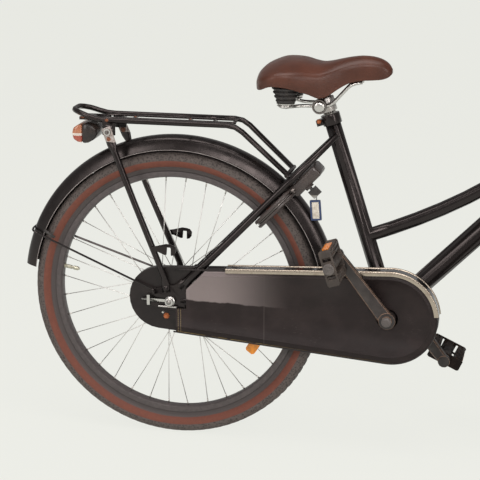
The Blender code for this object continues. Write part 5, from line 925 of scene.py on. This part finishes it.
def bellows(side, sign, look):
    """Ribbed rubber sleeve over the saddle's spring, narrowing to its dish."""
    profile = []
    ribs = 4
    for k in range(ribs):
        low = lerp(0.0048, 0.0385, k / ribs)
        high = lerp(0.0048, 0.0385, (k + 1) / ribs)
        wide = lerp(0.0180, 0.0288, ((k + 0.5) / ribs) ** 0.8)
        for share, size in ((0.02, 0.84), (0.22, 0.90), (0.42, 0.985), (0.58, 1.0), (0.72, 0.985), (0.88, 0.88)):
            profile.append((lerp(low, high, share), wide * size))
    foot = at(SPRING_FOOT[0], SPRING_FOOT[1] * sign, SPRING_FOOT[2] + 0.0012)
    fitted("bellows_" + side, look, "saddle", "black_rubber", 60, (turned, foot, UP, profile, 40),
           replaces=("saddle_spring_" + side,))


PEDAL_MIDDLE = 0.134
PEDAL_END = 0.1752
PEDAL_REACH = 0.0350
CRANK_FACE = 0.0828


def pedal_parts(side, sign, centre, angle, orange, cap_look):
    """Reflectors in both ends of a pedal and the ribbed cap over its bearing."""
    body = "pedal_" + side
    ahead = radial(angle)
    axes = (ahead.cross(ACROSS), ACROSS, ahead)
    middle = Vector((centre.x, sign * PEDAL_MIDDLE, centre.z))
    fitted("reflector_" + body, orange, body, "red_lens", 40,
           *[(block, middle + ahead * (PEDAL_REACH * end), axes, (0.0070, 0.0250, 0.0016)) for end in (1, -1)])
    fitted("cap_" + body, cap_look, body, "black_plastic", 40,
           (turned, Vector((centre.x, sign * PEDAL_END, centre.z)), ACROSS * sign,
            [(0.0, 0.0112), (0.0022, 0.0112), (0.0030, 0.0098), (0.0030, 0.0084), (0.0038, 0.0080),
             (0.0038, 0.0062), (0.0030, 0.0058), (0.0030, 0.0030), (0.0036, 0.0020)]))


def tag_holder(look):
    """Blue frame round the key's label."""
    wide = Vector((1.0, 0.0, 0.08)).normalized()
    tall = Vector((-0.08, 0.0, 1.0)).normalized()
    low, high = [Vector(c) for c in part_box("ring_lock_key")]
    middle = Vector((at(0.2965, 0, 0).x, (low.y + high.y) / 2, low.z + 0.0195))
    build = bmesh.new()
    for sign in (1, -1):
        block(build, middle + wide * (0.0090 * sign), (wide, ACROSS, tall), (0.0019, 0.0026, 0.0205))
        block(build, middle + tall * (0.0190 * sign), (tall, ACROSS, wide), (0.0019, 0.0024, 0.0092))
    piece("tag_holder", build, look, nodes["ring_lock_key"]["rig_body"], sharp=40)


def crank_caps(cap_look):
    """Stepped caps over the ends of the crank's spindle."""
    profile = [(0.0, 0.0100), (0.0008, 0.0100), (0.0014, 0.0090), (0.0012, 0.0078), (0.0020, 0.0066),
               (0.0024, 0.0040)]
    for side, sign in SIDES:
        fitted("crank_cap_" + side, cap_look, "cranks", "black_plastic", 40,
               (turned, Vector((BRACKET.x, sign * CRANK_FACE, BRACKET.z)), ACROSS * sign, profile))


# Finishes

# Rusted places on the carrier and its struts: forward, left and up from the starting point, and radius
carrier_rust = [
    (-0.1860, -0.020, 0.3690, 0.007), (-0.1290, 0.0, 0.3700, 0.007), (-0.0800, 0.0, 0.3700, 0.007),
    (0.0356, 0.0, 0.3698, 0.006), (0.0886, -0.010, 0.3718, 0.006), (-0.1900, -0.034, 0.3690, 0.006),
    (-0.1280, -0.0455, 0.3660, 0.006),
]
strut_rust = [
    (-0.1206, -0.050, 0.3285, 0.0060), (-0.1206, 0.050, 0.3285, 0.0060), (-0.1310, 0.049, 0.3440, 0.0060),
    (-0.1300, -0.051, 0.3390, 0.0040),
]
black = paint("enamel_frame", 0.15)
rack_paint = paint("enamel_rack", 0.6, carrier_rust)
guard_paint = paint("enamel_guard", 0.15, rough=0.24)
strut_paint = strut_look("enamel_strut", strut_rust)
crank_paint = plastic("enamel_crank", (0.017, 0.0125, 0.0112), 0.36, 300.0, 0.2, (0.085, 0.070, 0.064))
worn_edge = plastic("worn_edge", (0.20, 0.115, 0.072), 0.5, worn=(0.32, 0.22, 0.16))
worn_plastic = plastic("worn_plastic_edge", (0.15, 0.110, 0.086), 0.55, worn=(0.34, 0.27, 0.22))
black_plastic = plastic("plastic_black")
housing_plastic = plastic("plastic_housing", (0.013, 0.0105, 0.0098), 0.28, worn=(0.075, 0.045, 0.033))
lock_plastic = plastic("plastic_lock", (0.046, 0.036, 0.0335), 0.28, worn=(0.100, 0.078, 0.069))
pedal_plastic = plastic("plastic_pedal", (0.036, 0.027, 0.0225), 0.48, worn=(0.115, 0.086, 0.068))
# The left pedal's plastic is a darker copy of the right one's: painted shade
shaded_pedal_plastic = plastic("plastic_pedal_painted_shade", (0.011, 0.0072, 0.0060), 0.55, worn=(0.030, 0.019, 0.014), gloss=0.15)
cap_plastic = plastic("plastic_cap", (0.085, 0.074, 0.070), 0.45, worn=(0.16, 0.14, 0.13))
chrome = metal("steel_bright")
clamp_steel = metal("steel_clamp", (0.46, 0.445, 0.43), 0.30, 0.6, stain=(0.15, 0.075, 0.035))
dull = metal("steel_dull", (0.33, 0.315, 0.30), 0.36, 0.6)
dark_steel = metal("steel_dark", (0.20, 0.18, 0.17), 0.38, 0.5)
rusted = plastic("rusted_steel", (0.36, 0.105, 0.030), 0.62, 500.0, 0.5, (0.20, 0.055, 0.020))
black_rubber = rubber("rubber_black", (0.022, 0.020, 0.0195), 0.62)
case_skin = case_look("case_skin")
case_rear = plastic("case_rear", (0.013, 0.0098, 0.0094), 0.36, 900.0, 0.12, (0.028, 0.021, 0.0195), 0.30)
# The brassy tone of this metal is a painted warm reflection on silver trim
trim_warm_reflection = metal("trim_warm_reflection", (0.47, 0.405, 0.33), 0.26, 0.55)
trim_plate = metal("trim_plate", (0.30, 0.305, 0.315), 0.20, 0.75, (0.3, 1.0, 1.0), (0.060, 0.048, 0.042))
tail_glass = tail_lens_look("lens_tail")
lamp_glass = lens_look("lens_orange", (0.95, 0.270, 0.012), 0.30)
tag_blue = plastic("tag_blue", (0.020, 0.038, 0.110), 0.35, worn=(0.060, 0.085, 0.16))

guard("mudguard_rear_visual", guard_paint)
case_trim(trim_plate, trim_warm_reflection)
case_hem(case_rear)
small_parts(chrome, dark_steel, rusted, black_rubber)
pedal_parts("right", -1.0, RIGHT_PEDAL, math.radians(107), lamp_glass, cap_plastic)
pedal_parts("left", 1.0, LEFT_PEDAL, math.radians(-25), lamp_glass, cap_plastic)
crank_caps(cap_plastic)
tag_holder(tag_blue)
for side, sign in SIDES:
    bellows(side, sign, black_rubber)

# Nodes, look and slot, then, where they aren't the usual ones, the corner's radius, the angle above which an
# edge stays sharp and the look of the worn corners
finishes = [
    (("frame", "fork", "headset_lower_cup", "kickstand_leg", "rear_mudguard_stay"), black, "black_paint"),
    (("bag_hook_right", "bag_hook_left", "seat_collar"), black, "black_paint", 0.0004, 34),
    (("front_mudguard",), guard_paint, "black_paint"),
    (("carrier",), rack_paint, "black_paint", 0.0, 40),
    (("carrier_strut_right", "carrier_strut_left"), strut_paint, "black_paint", 0.0, 40),
    (("crank_right", "crank_left"), crank_paint, "black_paint", 0.0007, 40, worn_edge),
    (("rear_light_housing",), housing_plastic, "black_plastic", 0.0010, 40),
    (("headlight", "brake_arm_right", "brake_arm_left", "brake_lever_bracket", "chain_case_inner"), black_plastic,
     "black_plastic", 0.0, 40),
    (("ring_lock_body",), lock_plastic, "black_plastic", 0.0010, 34),
    (("pedal_right",), pedal_plastic, "black_plastic", 0.0008, 40, worn_plastic),
    (("pedal_left",), shaded_pedal_plastic, "black_plastic", 0.0008, 40, worn_edge),
    (("chain_case_outer",), case_skin, "black_plastic", 0.0, 22),
    (("chain_case_rear_end",), case_rear, "black_plastic", 0.0008, 22),
    (("headset_upper_cup", "seat_post", "stem", "handlebar", "brake_lever", "rear_axle_nut_right",
      "rear_axle_nut_left", "chain_tensioner_right"), chrome, "bright_steel"),
    (("saddle_rails",), chrome, "bright_steel", 0.0, 40),
    (("saddle_clamp",), clamp_steel, "bright_steel", 0.0004, 40),
    (("ring_lock_shackle",), dark_steel, "bright_steel"),
    (("bottom_bracket", "chain", "coaster_arm", "rear_axle", "rear_sprocket", "chainring", "crank_spindle",
      "front_axle"), dull, "dull_steel"),
    (("grip_right", "grip_left", "brake_cable"), black_rubber, "black_rubber"),
    (("ring_lock_key",), tag_look("key_tag"), "bright_steel", 0.0012, 40, tag_blue),
    (("rear_light_lens",), tail_glass, "red_lens", 0.0012, 30),
]
for names, look, slot, *form in finishes:
    for name in names:
        refined(name, look, slot, *form)

# Camera, as fitted to the photograph's wheel

EYE = at(0.8495, -3.2408, 1.0360)
AZIMUTH = math.radians(12.39)
ELEVATION = math.radians(15.43)
PHOTO_WIDTH = 480
FOCAL_PIXELS = 1688.4
SENSOR = 36.0

look_along = Vector((
    -math.sin(AZIMUTH) * math.cos(ELEVATION), math.cos(AZIMUTH) * math.cos(ELEVATION), -math.sin(ELEVATION)))
camera_data = bpy.data.cameras.new("camera")
camera_data.sensor_width = SENSOR
camera_data.lens = SENSOR * FOCAL_PIXELS / PHOTO_WIDTH
camera_data.clip_start = 0.05
camera_data.clip_end = 100.0
camera = placed("camera", camera_data)
camera.location = EYE
camera.rotation_euler = look_along.to_track_quat("-Z", "Y").to_euler()
bpy.context.scene.camera = camera

# Floor, backdrop tone and light

BACKDROP = (0.8430, 0.8510, 0.8010, 1.0)
BACKDROP_STRENGTH = 0.97
FLOOR_HALF = 30.0
FLOOR_GLOW = 0.93
WORLD_COLOUR = (1.0, 0.965, 0.945, 1.0)
WORLD_STRENGTH = 0.36
LAMP_TINT = (1.0, 0.955, 0.930)


def blend(tree, output, *sources):
    """Sends the mix of two shaders, after its share, to an output node."""
    mixed = tree.nodes.new("ShaderNodeMixShader")
    for source, socket in zip(sources, mixed.inputs):
        tree.links.new(source, socket)
    tree.links.new(mixed.outputs[0], tree.nodes[output].inputs["Surface"])


def floor():
    """A wide floor that is a nearly even pale tone wherever it is seen, with the shadow kept."""
    build = bmesh.new()
    corners = ((-1, -1), (1, -1), (1, 1), (-1, 1))
    build.faces.new([build.verts.new((x * FLOOR_HALF, y * FLOOR_HALF, 0.0)) for x, y in corners])
    mesh = bpy.data.meshes.new("floor")
    build.to_mesh(mesh)
    build.free()
    thing = placed("floor", mesh)
    look = Look("floor")
    rays = look.add("ShaderNodeLightPath").outputs
    seen = look.most(*[rays["Is %s Ray" % kind] for kind in ("Camera", "Glossy", "Transmission")])
    matte = look.fill(look.add("ShaderNodeBsdfDiffuse"), Color=BACKDROP)[0]
    glow = look.fill(look.add("ShaderNodeEmission"), Color=BACKDROP, Strength=1.0)[0]
    blend(look.tree, "Material Output", look.times(seen, FLOOR_GLOW), matte, glow)
    mesh.materials.append(look.material)


def world():
    """Soft light from all round; beyond the floor the camera sees the backdrop's tone."""
    made = bpy.data.worlds.new("studio")
    made.use_nodes = True
    tree = made.node_tree
    sources = [tree.nodes.new("ShaderNodeLightPath").outputs["Is Camera Ray"]]
    for colour, strength in ((WORLD_COLOUR, WORLD_STRENGTH), (BACKDROP, BACKDROP_STRENGTH)):
        light = tree.nodes.new("ShaderNodeBackground")
        light.inputs["Color"].default_value = colour
        light.inputs["Strength"].default_value = strength
        sources.append(light.outputs[0])
    blend(tree, "World Output", *sources)
    bpy.context.scene.world = made


def lamp(name, place, target, size, power):
    """A soft rectangular lamp turned to a target."""
    data = bpy.data.lights.new(name, "AREA")
    data.shape = "RECTANGLE"
    data.size, data.size_y = size
    data.energy = power
    data.color = LAMP_TINT
    thing = placed(name, data)
    thing.location = place
    thing.rotation_euler = (Vector(target) - Vector(place)).to_track_quat("-Z", "Y").to_euler()


floor()
world()
lamp("overhead", (-0.3, -0.8, 3.0), (-0.2, 0.0, 0.4), (3.0, 1.2), 46.0)
lamp("front_left", (-2.4, -2.8, 1.7), (-0.2, 0.0, 0.4), (1.0, 1.8), 26.0)
lamp("front_right", (2.6, -2.4, 1.4), (0.2, 0.0, 0.4), (0.8, 1.8), 26.0)
lamp("front_high", (0.3, -3.6, 2.3), (-0.1, 0.0, 0.4), (2.0, 0.9), 44.0)
bpy.context.scene.view_settings.view_transform = "Standard"

bpy.context.view_layer.update()
